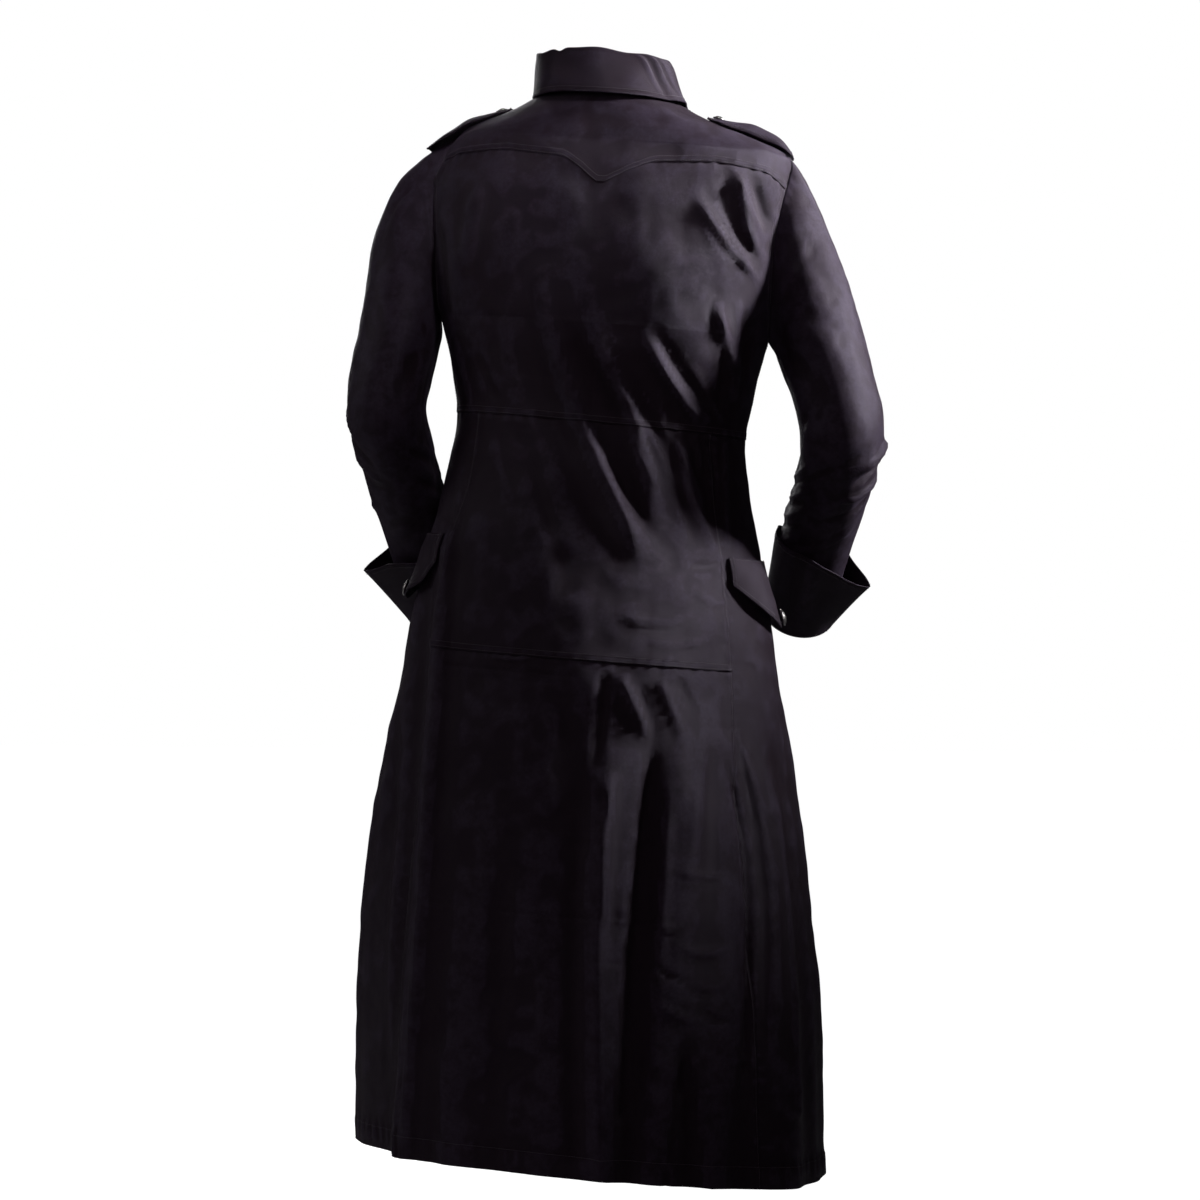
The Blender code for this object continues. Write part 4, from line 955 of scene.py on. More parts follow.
def collarGrid(sections, around, row):
    keys = np.arange(len(sections), dtype=float)
    value = {name: through(keys, tableColumn(sections, collarColumns, name), row) for name in collarColumns}
    side, rear = np.sin(np.pi * around), np.cos(np.pi * around)
    x = value["halfWidth"] * side
    y = np.where(rear > 0.0, value["back"], value["front"]) * rear
    endLevel = np.where(rear > 0.0, value["backLevel"], value["frontLevel"])
    z = value["sideLevel"] + (endLevel - value["sideLevel"]) * rear * rear + collar["tilt"] * x
    # the top edge is uneven, with one small notch, and the free edge sags on the left
    height = z - collar["tilt"] * x
    top = np.exp(-((height - collar["fold"]) / 0.020) ** 2)
    z = z + collar["wave"] * top * (np.sin(around * 13.0 + 0.6) + 0.7 * np.sin(around * 27.0 + 2.1))
    nick = np.exp(-((x - collar["notchAt"]) / collar["notchWidth"]) ** 2) * (rear > 0.0)
    z = z - collar["notch"] * top * nick
    low = softStep((0.030 - (z - collar["tilt"] * x)) / 0.030) * (len(sections) > 3)
    z = z - collar["sag"] * low * np.exp(-((around - collar["sagAt"]) / collar["sagWidth"]) ** 2)
    return np.stack([x + value["shift"], y, z], axis=-1)


def facingBack(normals):
    # turned so that the middle of the piece faces the back
    rows, columns = normals.shape[:2]
    return -normals if normals[rows // 2, columns // 2, 1] < 0.0 else normals


def sewStand():
    around = np.linspace(-collar["standEnd"], collar["standEnd"], collar["around"])[None, :]
    points = collarGrid(standSections, *np.broadcast_arrays(around, np.linspace(0.0, 2.0, 16)[:, None]))
    normals = facingBack(gridNormals(points))
    sewn["collar_stand"] = clothShell("collar_stand", points, normals, roundSides="tblr")
    stitchAlong("stitches_collar", points, normals, "b", collar["standStitch"])


def sewFall():
    around = np.linspace(-collar["fallEnd"], collar["fallEnd"], collar["around"])[None, :]
    around, row = np.broadcast_arrays(around, np.linspace(0.0, 4.0, 40)[:, None])
    points = collarGrid(fallSections, around, row)
    # the fall is soft at its free edge, and dips a little along its row of stitches
    free = softStep((row - 1.2) / 2.8)
    down = stepsAlong(points)
    edge = down[-1:] - down
    relief = waviness(points, collar["slack"], *collar["longWaves"], 11) * free
    relief = relief + collar["ripple"] * np.sin(around * 29.0 + 0.8) * free ** 2
    # a crumpled fold on the right
    crumpled = np.exp(-(row - 2.5) ** 2)
    for spot, height in collar["crumples"]:
        slant = around + spot + 0.030 * (row - 2.5)
        relief = relief + height * crumpled * np.exp(-(slant / collar["crumpleWidth"]) ** 2)
    relief = relief - collar["rowSunk"] * np.exp(-((edge - collar["edgeStitch"]) / 0.002) ** 2)
    points = points + facingBack(gridNormals(points)) * relief[..., None]
    normals = facingBack(gridNormals(points))
    sewn["collar_fall"] = clothShell("collar_fall", points, normals, roundSides="tblr")
    for side in "blr":
        stitchAlong("stitches_collar", points, normals, side, collar["edgeStitch"])


sewStand()
sewFall()
print("collar sewn")

# Sleeves
armColumns = ("x", "y", "z", "across", "depth")
armSections = {
    "left": (
        (0.262, 0.014, -0.290, 0.052, 0.062),
        (0.277, 0.034, -0.385, 0.048, 0.055),
        (0.268, -0.006, -0.455, 0.047, 0.051),
        (0.257, -0.066, -0.525, 0.045, 0.048),
        (0.249, -0.114, -0.580, 0.044, 0.046),
        (0.240, -0.160, -0.638, 0.043, 0.045),
    ),
    "right": (
        (-0.267, 0.014, -0.325, 0.054, 0.062),
        (-0.291, 0.034, -0.415, 0.051, 0.056),
        (-0.279, -0.006, -0.480, 0.048, 0.052),
        (-0.257, -0.062, -0.541, 0.046, 0.049),
        (-0.241, -0.110, -0.592, 0.044, 0.046),
        (-0.226, -0.156, -0.644, 0.043, 0.045),
    ),
}
sleeve = {
    "round": 104, "headRows": 56, "armRows": 104, "seamGap": 0.0003, "slack": 0.0008, "crumple": 0.00022,
    "underSeam": 0.0009, "underSeamAt": 0.47, "underSeamWidth": 0.0028, "smoothAt": 0.765,
    "smoothOver": 0.06, "longWaves": (0.045, 0.100), "shortWaves": (0.016, 0.034),
    "left": (0.320, 0.93, -0.37), "right": (0.200, 0.62, -0.78), "under": (0.035, 0.45, -0.89),
    "length": 0.66, "girth": 0.33, "tuck": 0.0028, "allowance": 0.006,
}
# A crease's row: place and turn of three places on it, then its reach, height and sharpness.
# Place runs 0 to 1 from the armhole to the wrist, and turn 0 to 1 from the outer side over the back.
sleeveCreases = {
    "right": (
        (0.560, -0.06, 0.565, 0.06, 0.560, 0.17, 0.0102, 0.0065, 0.7),
        (0.588, -0.04, 0.590, 0.08, 0.582, 0.20, 0.0085, -0.0062, 0.5),
        (0.618, -0.02, 0.628, 0.12, 0.600, 0.24, 0.0093, 0.0053, 0.7),
        (0.650, 0.04, 0.660, 0.16, 0.640, 0.30, 0.0102, -0.0040, 0.4),
        (0.530, 0.10, 0.515, 0.24, 0.480, 0.38, 0.0140, -0.0026, 0.2),
        (0.464, 0.34, 0.455, 0.44, 0.470, 0.54, 0.0120, 0.0022, 0.5),
        (0.509, 0.33, 0.495, 0.45, 0.505, 0.58, 0.0121, -0.0016, 0.3),
        (0.532, 0.32, 0.540, 0.44, 0.535, 0.60, 0.0108, 0.0023, 0.5),
        (0.574, 0.34, 0.575, 0.46, 0.565, 0.62, 0.0143, -0.0015, 0.3),
        (0.599, 0.33, 0.612, 0.45, 0.600, 0.60, 0.0150, 0.0023, 0.5),
        (0.649, 0.36, 0.655, 0.47, 0.645, 0.60, 0.0110, -0.0015, 0.3),
        (0.687, 0.34, 0.705, 0.46, 0.690, 0.58, 0.0143, 0.0019, 0.4),
        (0.500, 0.62, 0.520, 0.72, 0.510, 0.82, 0.0130, 0.0040, 0.5),
        (0.540, 0.60, 0.560, 0.72, 0.550, 0.84, 0.0120, -0.0044, 0.3),
        (0.580, 0.62, 0.600, 0.74, 0.590, 0.86, 0.0130, 0.0040, 0.5),
        (0.625, 0.64, 0.640, 0.74, 0.630, 0.84, 0.0120, -0.0032, 0.3),
        (0.130, 0.36, 0.230, 0.27, 0.340, 0.18, 0.0220, 0.0026, 0.2),
        (0.170, 0.40, 0.280, 0.33, 0.400, 0.27, 0.0180, -0.0024, 0.2),
        (0.080, 0.18, 0.160, 0.15, 0.270, 0.13, 0.0200, -0.0018, 0.2),
        (0.140, 0.66, 0.240, 0.74, 0.360, 0.80, 0.0200, 0.0026, 0.3),
        (0.330, 0.40, 0.380, 0.36, 0.430, 0.28, 0.0140, 0.0024, 0.4),
        (0.700, 0.10, 0.730, 0.22, 0.730, 0.36, 0.0130, 0.0028, 0.4),
        (0.735, 0.04, 0.765, 0.16, 0.770, 0.30, 0.0093, -0.0040, 0.5),
        (0.780, 0.00, 0.800, 0.12, 0.800, 0.26, 0.0093, 0.0040, 0.6),
    ),
    "left": (
        (0.540, -0.04, 0.548, 0.06, 0.540, 0.16, 0.0127, 0.0032, 0.5),
        (0.575, -0.02, 0.580, 0.10, 0.570, 0.22, 0.0110, -0.0032, 0.4),
        (0.615, 0.02, 0.620, 0.12, 0.605, 0.24, 0.0119, 0.0028, 0.5),
        (0.444, 0.34, 0.430, 0.44, 0.440, 0.54, 0.0117, 0.0013, 0.4),
        (0.469, 0.34, 0.470, 0.45, 0.480, 0.58, 0.0156, -0.0020, 0.3),
        (0.524, 0.32, 0.515, 0.44, 0.510, 0.60, 0.0163, 0.0013, 0.4),
        (0.552, 0.34, 0.560, 0.46, 0.550, 0.62, 0.0120, -0.0022, 0.3),
        (0.599, 0.34, 0.600, 0.45, 0.590, 0.58, 0.0143, 0.0014, 0.4),
        (0.634, 0.36, 0.650, 0.46, 0.640, 0.58, 0.0108, -0.0016, 0.3),
        (0.490, 0.62, 0.510, 0.72, 0.500, 0.82, 0.0140, 0.0036, 0.4),
        (0.535, 0.60, 0.555, 0.72, 0.545, 0.84, 0.0130, -0.0038, 0.3),
        (0.580, 0.62, 0.600, 0.74, 0.590, 0.86, 0.0140, 0.0034, 0.4),
        (0.150, 0.38, 0.240, 0.30, 0.350, 0.22, 0.0220, 0.0022, 0.2),
        (0.190, 0.42, 0.300, 0.35, 0.410, 0.30, 0.0180, -0.0020, 0.2),
        (0.100, 0.20, 0.200, 0.16, 0.300, 0.12, 0.0240, -0.0016, 0.1),
        (0.140, 0.66, 0.240, 0.74, 0.360, 0.80, 0.0200, 0.0024, 0.3),
        (0.700, 0.30, 0.740, 0.20, 0.800, 0.12, 0.0110, 0.0037, 0.6),
        (0.720, 0.38, 0.770, 0.28, 0.810, 0.20, 0.0110, -0.0028, 0.3),
        (0.690, 0.14, 0.730, 0.06, 0.780, -0.02, 0.0102, 0.0028, 0.5),
    ),
}


def armRing(side, place, turn):
    sections = armSections[side]
    keys = np.linspace(0.0, 1.0, len(sections))
    place, turn = np.broadcast_arrays(np.asarray(place, float), np.asarray(turn, float))

    def centre(at):
        return np.stack([through(keys, tableColumn(sections, armColumns, n), at) for n in "xyz"], -1)

    inside = np.clip(place, 0.01, 0.99)
    down = unit(centre(inside + 0.01) - centre(inside - 0.01))
    outward = np.zeros_like(down)
    outward[..., 0] = 1.0 if side == "left" else -1.0
    outward = unit(outward - (outward * down).sum(-1, keepdims=True) * down)
    back = np.cross(down, outward) * (1.0 if side == "right" else -1.0)
    across = through(keys, tableColumn(sections, armColumns, "across"), place)
    depth = through(keys, tableColumn(sections, armColumns, "depth"), place)
    ring = centre(place) + (across * np.cos(turn))[..., None] * outward
    return ring + (depth * np.sin(turn))[..., None] * back


def armholeLoop(side):
    # round the armhole seam, from the shoulder down the back and up the front, counted in
    # sixteenths: the yoke seam is at two and the underarm at eight
    sign = 1.0 if side == "left" else -1.0
    share = 16.0 * np.arange(sleeve["round"]) / sleeve["round"]
    yoke = float(yokeLine(np.array([0.5]))[0])
    backDrop = np.interp(share, [0.0, 2.0, 8.0], [coat["shoulder"], yoke, coat["armhole"]])
    frontDrop = np.interp(16.0 - share, [0.0, 8.0], [coat["shoulder"], coat["armhole"]])
    half = np.full(len(share), 0.5 * sign)
    back, front = bodyGrid(half, backDrop, "back"), bodyGrid(half, frontDrop, "front")
    onBack = (share <= 8.0)[:, None]
    return np.where(onBack, back, front)


def sleeveForm(side):
    seam = armholeLoop(side)
    turns = 2.0 * np.pi * np.arange(sleeve["round"]) / sleeve["round"]
    sign = 1.0 if side == "left" else -1.0
    first, second = armRing(side, 0.0, turns), armRing(side, 0.02, turns)
    under = (0.5 - 0.5 * np.cos(turns))[:, None]
    top, low = sleeve[side], sleeve["under"]
    outTop = np.array([sign * top[1], 0.0, top[2]])
    outUnder = np.array([sign * low[1], 0.0, low[2]])
    across = np.roll(seam, -1, axis=0) - np.roll(seam, 1, axis=0)
    facing = np.sign(np.sin(turns))[:, None] * np.array([0.0, 0.25, 0.0]) * np.abs(unit(across)[:, 2:3])
    heading = unit(outTop * (1.0 - under) + outUnder * under + facing)
    reach = top[0] + (low[0] - top[0]) * under
    arrival = unit(second - first)
    seam = seam + sleeve["seamGap"] * heading
    rows = []
    for share in np.linspace(0.0, 1.0, sleeve["headRows"] + 1)[:-1]:
        row = (2 * share ** 3 - 3 * share ** 2 + 1) * seam + (3 * share ** 2 - 2 * share ** 3) * first
        row = row + (share ** 3 - 2 * share ** 2 + share) * reach * heading
        rows.append(row + (share ** 3 - share ** 2) * reach * arrival)
    rows += [armRing(side, place, turns) for place in np.linspace(0.0, 1.0, sleeve["armRows"] + 1)]
    return np.array(rows)


def sleeveRelief(side, points, along, turn):
    total = np.zeros(along.shape)
    size = np.array([sleeve["length"], sleeve["girth"]])
    for row in sleeveCreases[side]:
        reach, height, peak = row[6:]
        line = ridgeLine(*np.array(row[:6]).reshape(3, 2), 9)
        middle = line[:, 1].mean()
        nearTurn = middle + (turn - middle + 0.5) % 1.0 - 0.5
        distance, share, _ = besideLine(np.stack([along, nearTurn], axis=-1) * size, line * size)
        total += height * bell(distance, reach, peak) * softStep(share / 0.3) * softStep((1.0 - share) / 0.3)
    total += waviness(points, sleeve["slack"], *sleeve["longWaves"], 21)
    return total + waviness(points, sleeve["crumple"], *sleeve["shortWaves"], 22)


def sewSleeves():
    for side in ("left", "right"):
        form = sleeveForm(side)
        outward = gridNormals(form, closed=True)
        outward = outward if side == "right" else -outward
        lengths = stepsAlong(form)
        along = lengths / lengths[-1:]
        turn = np.broadcast_to(np.arange(sleeve["round"]) / sleeve["round"], along.shape)
        relief = sleeveRelief(side, form, along, turn)
        # the part that the cuff covers is left smooth
        fade = softStep(lengths / 0.030) * softStep((sleeve["smoothAt"] - along) / sleeve["smoothOver"])
        ease = seamRelief("under", lengths, stepsAlong(form.swapaxes(0, 1)).T, 5.0)
        fromSeam = (turn - sleeve["underSeamAt"]) * sleeve["girth"] / sleeve["underSeamWidth"]
        underSeam = -sleeve["underSeam"] * np.exp(-fromSeam ** 2) * fade
        top = softStep(0.5 + 0.5 * np.cos(2.0 * np.pi * turn)) * softStep(lengths / 0.004)
        points = form + outward * (relief * fade + underSeam + ease * top)[..., None]
        normals = gridNormals(points, closed=True)
        normals = normals if side == "right" else -normals
        # its seam allowance lies turned in under the body panels, and closes the armhole seam
        sign = 1.0 if side == "left" else -1.0
        under = 0.5 - 0.5 * np.cos(2.0 * np.pi * turn[0])
        inward = np.stack([-sign * under ** 6, -np.tanh(points[0, :, 1] / 0.012) * (1.0 - under ** 6),
                           -(1.0 - under) ** 4], axis=-1)
        tucked = points[0] + sleeve["tuck"] * inward
        tail = tucked - np.array([sign * sleeve["allowance"], 0.0, 0.0])
        points = np.concatenate([tail[None], tucked[None], points])
        turnedIn = np.broadcast_to(-inward, (2,) + inward.shape)
        normals = np.concatenate([unit(turnedIn + 0.2 * normals[:1]), normals])
        sewn["sleeve_" + side] = clothShell("sleeve_" + side, points, normals, closed=True, roundSides="b")
        sewCuff(side)


# Cuffs: turned back, open at the outer side, with the free corners standing off.
# Each side gives where the free edge lies as shares of the arm, by the angle from the outer side
# over the back.
cuff = {
    "slitTurn": 0.45, "opening": 0.03, "flare": 0.034, "ease": 0.0045, "corner": 0.40,
    "round": 120, "rows": 40, "edgeStitch": 0.0055,
    "right": ((0.00, 0.745), (0.45, 0.725), (1.10, 0.645), (1.75, 0.600), (3.14, 0.625), (4.40, 0.735),
              (6.283, 0.745), (6.733, 0.725)),
    "left": ((0.00, 0.745), (0.45, 0.725), (1.00, 0.670), (1.50, 0.665), (2.05, 0.730), (2.60, 0.765),
             (3.14, 0.770), (4.40, 0.755), (6.283, 0.745), (6.733, 0.725)),
    "press": {"left": 0.0036, "right": 0.0}, "pressAt": 2.8, "pressWidth": 1.1, "wrist": 0.998,
}


def sewCuff(side):
    turns = np.linspace(0.0, 2.0 * np.pi - 2.0 * cuff["opening"], cuff["round"])
    turns = cuff["slitTurn"] + cuff["opening"] + turns
    edgeTurns, edgePlaces = zip(*cuff[side])
    start = through(edgeTurns, edgePlaces, turns)
    share = np.linspace(1.0, 0.0, cuff["rows"])[:, None]
    places = cuff["wrist"] + (start - cuff["wrist"]) * share
    turns, share = np.broadcast_to(turns, places.shape), np.broadcast_to(share, places.shape)
    sign = 1.0 if side == "right" else -1.0
    normals = sign * surfaceNormals(lambda turn, place: armRing(side, place, turn), turns, places)
    slit = np.minimum(turns - cuff["slitTurn"], cuff["slitTurn"] + 2.0 * np.pi - turns)
    corner = np.exp(-(slit / cuff["corner"]) ** 1.2)
    lift = coat["laidGap"] + coat["cloth"] + share * (cuff["ease"] + cuff["flare"] * corner)
    points = armRing(side, places, turns)
    # the left cuff is pressed flatter where it passes the skirt
    pressed = np.exp(-((turns - cuff["pressAt"]) / cuff["pressWidth"]) ** 2)
    lift = lift - share * cuff["press"][side] * pressed
    lift = lift + share * (0.0011 * np.sin(turns * 5.0 + 1.0) + 0.0008 * np.sin(turns * 9.0))
    points = points + normals * lift[..., None]
    outward = turnedLike(gridNormals(points), normals)
    sewn["cuff_" + side] = clothShell("cuff_" + side, points, outward, roundSides="tblr")
    for edge in "tlr":
        stitchAlong("stitches_sleeves", points, outward, edge, cuff["edgeStitch"])
    stitchAlong("stitches_sleeves", points, outward, "b", near)


sewSleeves()
print("sleeves and cuffs sewn")

# Shoulder straps
strapShape = {"halfWidth": 0.024, "clear": 0.0008, "rows": 56, "across": 22, "edgeStitch": 0.0045,
              "narrowing": 0.30, "pillow": 0.0006, "ripple": 0.0007, "edgeBend": 2.4}
strapColumns = ("side", "start", "length", "rise", "peak", "droop")
straps = (("left", 0.040, 0.116, 0.007, 0.55, 0.0015), ("right", 0.043, 0.114, 0.013, 0.58, 0.0018))


def shoulderLine(side):
    sign = 1.0 if side == "left" else -1.0
    ridge = bodySurface(np.full(30, 0.5 * sign), np.linspace(0.0, coat["shoulder"], 30))
    rows = sleeveForm(side)[1:2 * sleeve["headRows"] // 7 + 1, 0]
    return np.concatenate([ridge, rows])


def sewStraps():
    for row in straps:
        strap = dict(zip(strapColumns, row))
        line = shoulderLine(strap["side"])
        lengths = stepsAlong(line[:, None])[:, 0]
        share = np.linspace(0.0, 1.0, strapShape["rows"])
        at = strap["start"] + strap["length"] * share
        centre = np.stack([np.interp(at, lengths, line[:, axis]) for axis in range(3)], axis=-1)
        smoothed = [np.polyval(np.polyfit(share, centre[:, axis], 5), share) for axis in range(3)]
        centre = np.stack(smoothed, axis=-1)
        arch = np.sin(np.pi * share ** (np.log(0.5) / np.log(strap["peak"])))
        offset = coat["laidGap"] + coat["cloth"] + strapShape["clear"] + strap["rise"] * arch
        along = unit(np.gradient(centre, axis=0))
        up = unit(np.cross(along, np.array([0.0, 1.0, 0.0])))
        up = up * np.sign(up[:, 2:3])
        across = np.linspace(-1.0, 1.0, strapShape["across"])
        taper = 1.0 - strapShape["narrowing"] * np.exp(-(share / 0.10) ** 2)
        points = centre[:, None] + up[:, None] * offset[:, None, None]
        aside = strapShape["halfWidth"] * taper[:, None] * across
        points = points + np.array([0.0, 1.0, 0.0]) * aside[..., None]
        # the long edges bend down to the shoulder under them, so no light shows below the arch
        bend = strap["droop"] + strap["rise"] * arch[:, None]
        points[..., 2] -= bend * np.abs(across) ** strapShape["edgeBend"]
        raised = gridNormals(points)
        raised = raised * np.sign(raised[..., 2:3])
        pillow = strapShape["pillow"] * np.cos(np.pi * across / 2)[None, :]
        pillow = pillow + strapShape["ripple"] * (np.sin(share * 17.0) * arch)[:, None]
        points = points + raised * pillow[..., None]
        name = "shoulder_strap_" + strap["side"]
        sewn[name] = clothShell(name, points, raised, roundSides="tblr")
        for edge in "tblr":
            stitchAlong("stitches_trims", points, raised, edge, strapShape["edgeStitch"])


# Pocket flaps
flap = {"top": 0.562, "end": 0.596, "point": 0.645, "first": 0.305, "last": 0.560, "pointAt": 0.485,
        "lift": 0.012, "pillow": 0.0007, "rows": 34, "across": 80, "edgeStitch": 0.0055}


def sewFlaps():
    for side, sign in (("left", 1.0), ("right", -1.0)):
        column = np.linspace(flap["first"], flap["last"], flap["across"])
        low = through((flap["first"], flap["pointAt"] - 0.08, flap["pointAt"], flap["last"]),
                      (flap["end"], flap["point"] - 0.014, flap["point"], flap["point"] - 0.02), column)
        share = np.linspace(0.0, 1.0, flap["rows"])[:, None]
        drops = flap["top"] + (low - flap["top"]) * share
        around = np.broadcast_to(sign * column, drops.shape)
        normals = surfaceNormals(bodyBase, around, drops)
        lift = coat["laidGap"] + coat["cloth"] + flap["lift"] * share * np.sin(
            np.pi * np.linspace(0.06, 0.94, flap["across"]))
        points = bodySurface(around, drops) + normals * lift[..., None]
        outward = turnedLike(gridNormals(points), normals)
        pillow = flap["pillow"] * np.sin(np.linspace(0.0, np.pi, flap["across"])) ** 0.5
        points = points + outward * pillow[None, :, None]
        name = "pocket_flap_" + side
        sewn[name] = clothShell(name, points, outward, roundSides="blr")
        for edge in "blr":
            stitchAlong("stitches_trims", points, outward, edge, flap["edgeStitch"])
        stitchAlong("stitches_trims", points, outward, "t", near)


# Front placket, down the centre front
placket = {"half": 0.040, "top": 0.006, "clear": 0.0006, "across": 26, "edgeStitch": 0.0055}


def sewPlacket():
    column = 1.0 + placket["half"] * np.linspace(-1.0, 1.0, placket["across"])
    drops = rowsBetween(placket["top"] + 0.0 * column, coat["waist"], coat["hem"])
    columns = np.broadcast_to(column, drops.shape)
    base = surfaceNormals(bodyBase, columns, drops)
    points = bodySurface(columns, drops) + base * (coat["laidGap"] + coat["cloth"] + placket["clear"])
    outward = turnedLike(gridNormals(points), base)
    sewn["front_placket"] = clothShell("front_placket", points, outward, roundSides="tblr")
    for edge in "lr":
        stitchAlong("stitches_front", points, outward, edge, placket["edgeStitch"])


sewStraps()
sewFlaps()
sewPlacket()
print("straps, flaps and placket sewn")

# Buttons: domed shank buttons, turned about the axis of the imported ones
button = {
    "clear": 0.0008, "sides": 72, "ropeTurns": 30, "ropeDepth": 0.020, "ropeFrom": 0.93, "ropeTo": 1.01,
    "ropeBottom": 0.28, "ropeAside": 0.4,
    "profile": ((0.00, 0.03, 0.0), (0.26, 0.03, 0.8), (0.28, 0.22, 1.0), (0.60, 0.23, 0.8),
                (0.93, 0.25, 0.5), (0.985, 0.30, 0.1), (1.00, 0.36, 0.0), (0.985, 0.42, 0.0),
                (0.94, 0.46, 0.3), (0.895, 0.455, 1.0), (0.86, 0.465, 0.9), (0.82, 0.500, 0.2),
                (0.72, 0.575, 0.0), (0.58, 0.655, 0.0), (0.42, 0.715, 0.0), (0.22, 0.752, 0.0),
                (0.00, 0.765, 0.0)),
}


def packedButton(name):
    # middle and axis of a packed button, and how far its points lie out from both
    spots = np.array([tuple(point.co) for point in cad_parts[name].data.vertices])
    middle = spots.mean(axis=0)
    axis = np.linalg.svd(spots - middle, full_matrices=False)[2][2]
    along = (spots - middle) @ axis
    spread = np.linalg.norm(spots - middle - along[:, None] * axis, axis=1)
    return middle, axis, spread, along


def turnButton(name):
    middle, axis, spread, along = packedButton(name)
    radius = spread.max()
    high, low = along.argmax(), along.argmin()
    if spread[high] > spread[low]:
        axis, along = -axis, -along
    seat = middle + axis * (along.min() + button["clear"])
    work = bmesh.new()
    layer = work.verts.layers.float.new("recess")
    rings = []
    for reach, height, depth in button["profile"]:
        ring = []
        # a fine rope runs round the rim
        roped = button["ropeFrom"] < reach < button["ropeTo"] and height > button["ropeBottom"]
        for side in range(button["sides"] if reach > 0.0 else 1):
            angle = 2.0 * math.pi * side / button["sides"]
            rope = button["ropeDepth"] * math.sin(button["ropeTurns"] * angle) if roped else 0.0
            wide = radius * (reach + button["ropeAside"] * rope)
            spot = (wide * math.cos(angle), wide * math.sin(angle), radius * (height + rope))
            corner = work.verts.new(spot)
            corner[layer] = depth
            ring.append(corner)
        rings.append(ring)
    for low, high in zip(rings[:-1], rings[1:]):
        for side in range(button["sides"]):
            after = (side + 1) % button["sides"]
            if len(low) == 1:
                work.faces.new((low[0], high[after], high[side]))
            elif len(high) == 1:
                work.faces.new((low[side], low[after], high[0]))
            else:
                work.faces.new((low[side], low[after], high[after], high[side]))
    turn = Vector(axis.tolist()).to_track_quat("Z", "Y").to_matrix().to_4x4()
    work.transform(Matrix.Translation(Vector(seat.tolist())) @ turn)
    bmesh.ops.recalc_face_normals(work, faces=work.faces)
    mesh = bpy.data.meshes.new(name + "_turned")
    work.to_mesh(mesh)
    work.free()
    mesh.shade_smooth()
    return addItem(name + "_turned", mesh, paleSilver)


buttonNames = [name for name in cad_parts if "button" in name]
buttons = {name: turnButton(name) for name in sorted(buttonNames)}
print("buttons turned:", len(buttons))

# Stitches: one tree lays a thread bead at each step along the kept paths
stitch = {"pitch": 0.0034, "long": 0.00125, "thick": 0.00034, "sunk": 0.00006, "seed": 7,
          "jitter": (0.86, 1.10)}


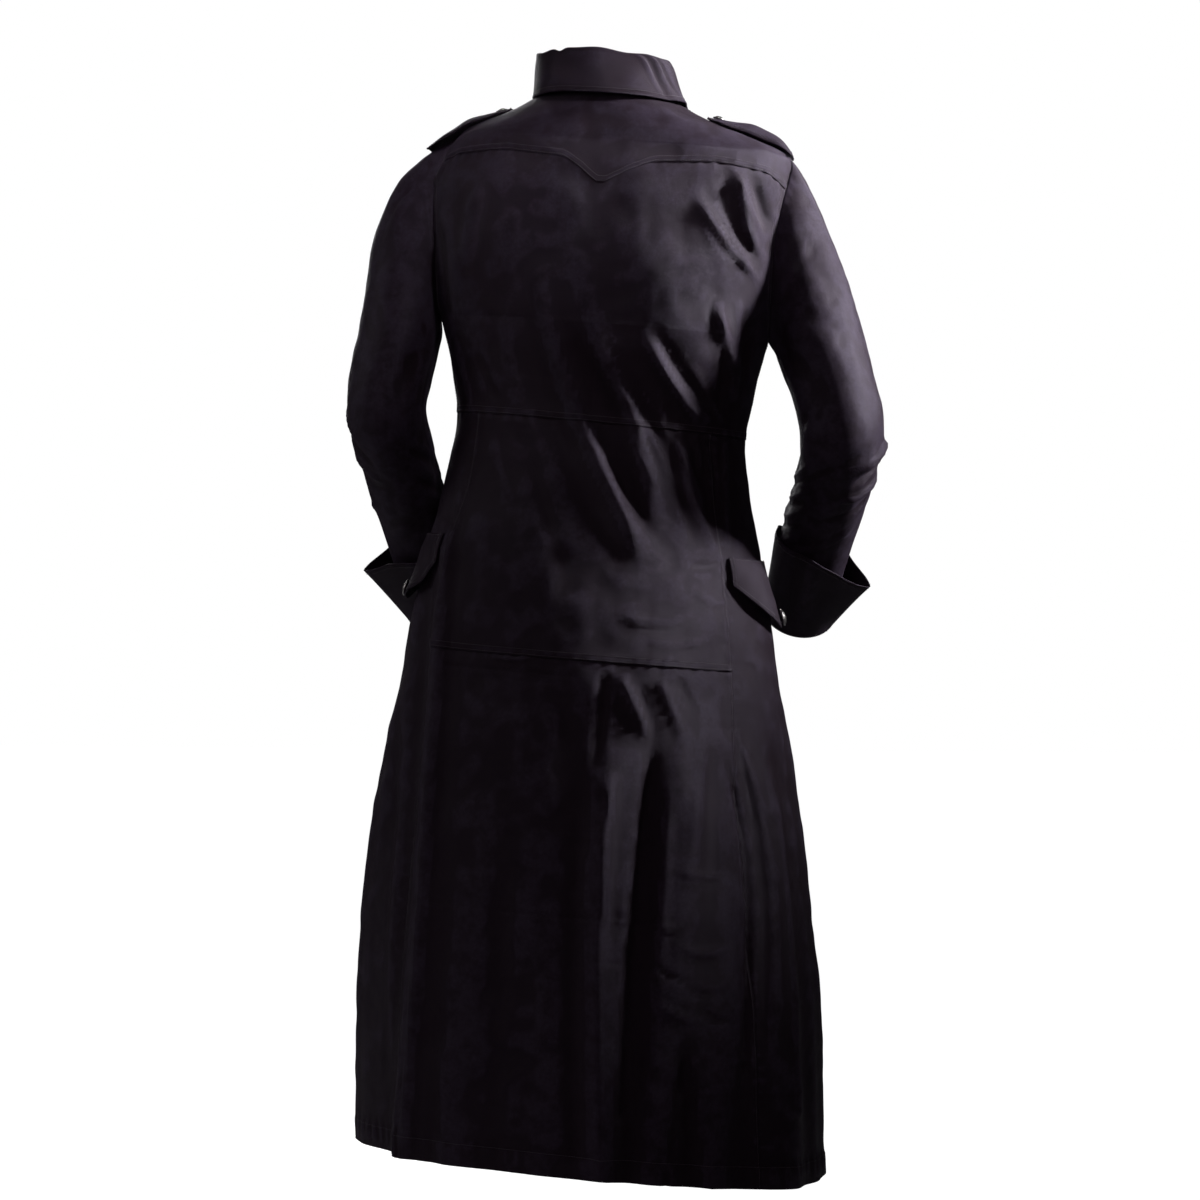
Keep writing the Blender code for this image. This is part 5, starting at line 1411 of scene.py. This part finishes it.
def stitchTree():
    tree = bpy.data.node_groups.new("stitchRows", "GeometryNodeTree")
    for title, kind, value in (("Path", "Geometry", None), ("Pitch", "Float", stitch["pitch"]),
                               ("Half Length", "Float", stitch["long"]),
                               ("Thickness", "Float", stitch["thick"]), ("Seed", "Int", stitch["seed"])):
        socket = tree.interface.new_socket(name=title, in_out="INPUT", socket_type="NodeSocket" + kind)
        if value is not None:
            socket.default_value = value
    tree.interface.new_socket(name="Stitches", in_out="OUTPUT", socket_type="NodeSocketGeometry")
    nodes = {title: tree.nodes.new(kind) for title, kind in (
        ("given", "NodeGroupInput"), ("result", "NodeGroupOutput"), ("curve", "GeometryNodeMeshToCurve"),
        ("steps", "GeometryNodeResampleCurve"), ("lift", "GeometryNodeInputNamedAttribute"),
        ("heading", "GeometryNodeInputTangent"), ("turn", "FunctionNodeAxesToRotation"),
        ("bead", "GeometryNodeMeshUVSphere"), ("jitter", "FunctionNodeRandomValue"),
        ("length", "ShaderNodeMath"), ("size", "ShaderNodeCombineXYZ"),
        ("laid", "GeometryNodeInstanceOnPoints"), ("smooth", "GeometryNodeSetShadeSmooth"),
        ("real", "GeometryNodeRealizeInstances"), ("thread", "GeometryNodeSetMaterial"))}
    nodes["steps"].mode = "LENGTH"
    nodes["lift"].data_type = "FLOAT_VECTOR"
    nodes["lift"].inputs["Name"].default_value = "lift"
    nodes["turn"].primary_axis, nodes["turn"].secondary_axis = "Y", "Z"
    for title, value in (("Segments", 5), ("Rings", 4), ("Radius", 1.0)):
        nodes["bead"].inputs[title].default_value = value
    nodes["jitter"].data_type = "FLOAT"
    nodes["jitter"].inputs[2].default_value, nodes["jitter"].inputs[3].default_value = stitch["jitter"]
    nodes["length"].operation = "MULTIPLY"
    nodes["thread"].inputs["Material"].default_value = blackThread
    for source, output, target, slot in (
            ("given", "Path", "curve", "Mesh"), ("curve", "Curve", "steps", "Curve"),
            ("given", "Pitch", "steps", "Length"), ("steps", "Curve", "laid", "Points"),
            ("heading", "Tangent", "turn", "Primary Axis"), ("lift", "Attribute", "turn", "Secondary Axis"),
            ("turn", "Rotation", "laid", "Rotation"), ("given", "Seed", "jitter", "Seed"),
            ("given", "Half Length", "length", 0), ("jitter", 1, "length", 1),
            ("given", "Thickness", "size", "X"), ("length", 0, "size", "Y"),
            ("given", "Thickness", "size", "Z"), ("size", 0, "laid", "Scale"),
            ("bead", "Mesh", "smooth", "Geometry"),
            ("smooth", "Geometry", "laid", "Instance"), ("laid", "Instances", "real", "Geometry"),
            ("real", "Geometry", "thread", "Geometry"), ("thread", "Geometry", "result", "Stitches")):
        tree.links.new(nodes[source].outputs[output], nodes[target].inputs[slot])
    return tree


def layStitches(tree, name, paths):
    vertices, edges, lifts = [], [], []
    for path, lift in paths:
        first = len(vertices)
        vertices += (path + lift * (stitch["thick"] - stitch["sunk"])).tolist()
        lifts += lift.tolist()
        edges += [(first + step, first + step + 1) for step in range(len(path) - 1)]
    mesh = bpy.data.meshes.new(name + "_path")
    mesh.from_pydata(vertices, edges, [])
    kept = mesh.attributes.new("lift", "FLOAT_VECTOR", "POINT")
    kept.data.foreach_set("vector", np.array(lifts).ravel())
    guide = bpy.data.objects.new(name + "_path", mesh)
    bpy.context.collection.objects.link(guide)
    guide.modifiers.new("stitches", "NODES").node_group = tree
    seen = guide.evaluated_get(bpy.context.evaluated_depsgraph_get())
    rows = bpy.data.meshes.new_from_object(seen)
    rows.name = name
    item = bpy.data.objects.new(name, rows)
    bpy.context.collection.objects.link(item)
    bpy.data.objects.remove(guide, do_unlink=True)
    return item


rowsOfStitches = stitchTree()
stitchPieces = {name: layStitches(rowsOfStitches, name, paths) for name, paths in stitchPaths.items()}
print("stitches laid:", len(stitchPieces), "pieces")

# Every cloth piece, row of stitches and button hangs under the root body; the imported parts of the cloth
# pieces and buttons are hidden
for name, piece in sewn.items():
    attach(piece, "root")
    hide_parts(name)
for piece in stitchPieces.values():
    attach(piece, "root")
for name, piece in buttons.items():
    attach(piece, "root")
    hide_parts(name)
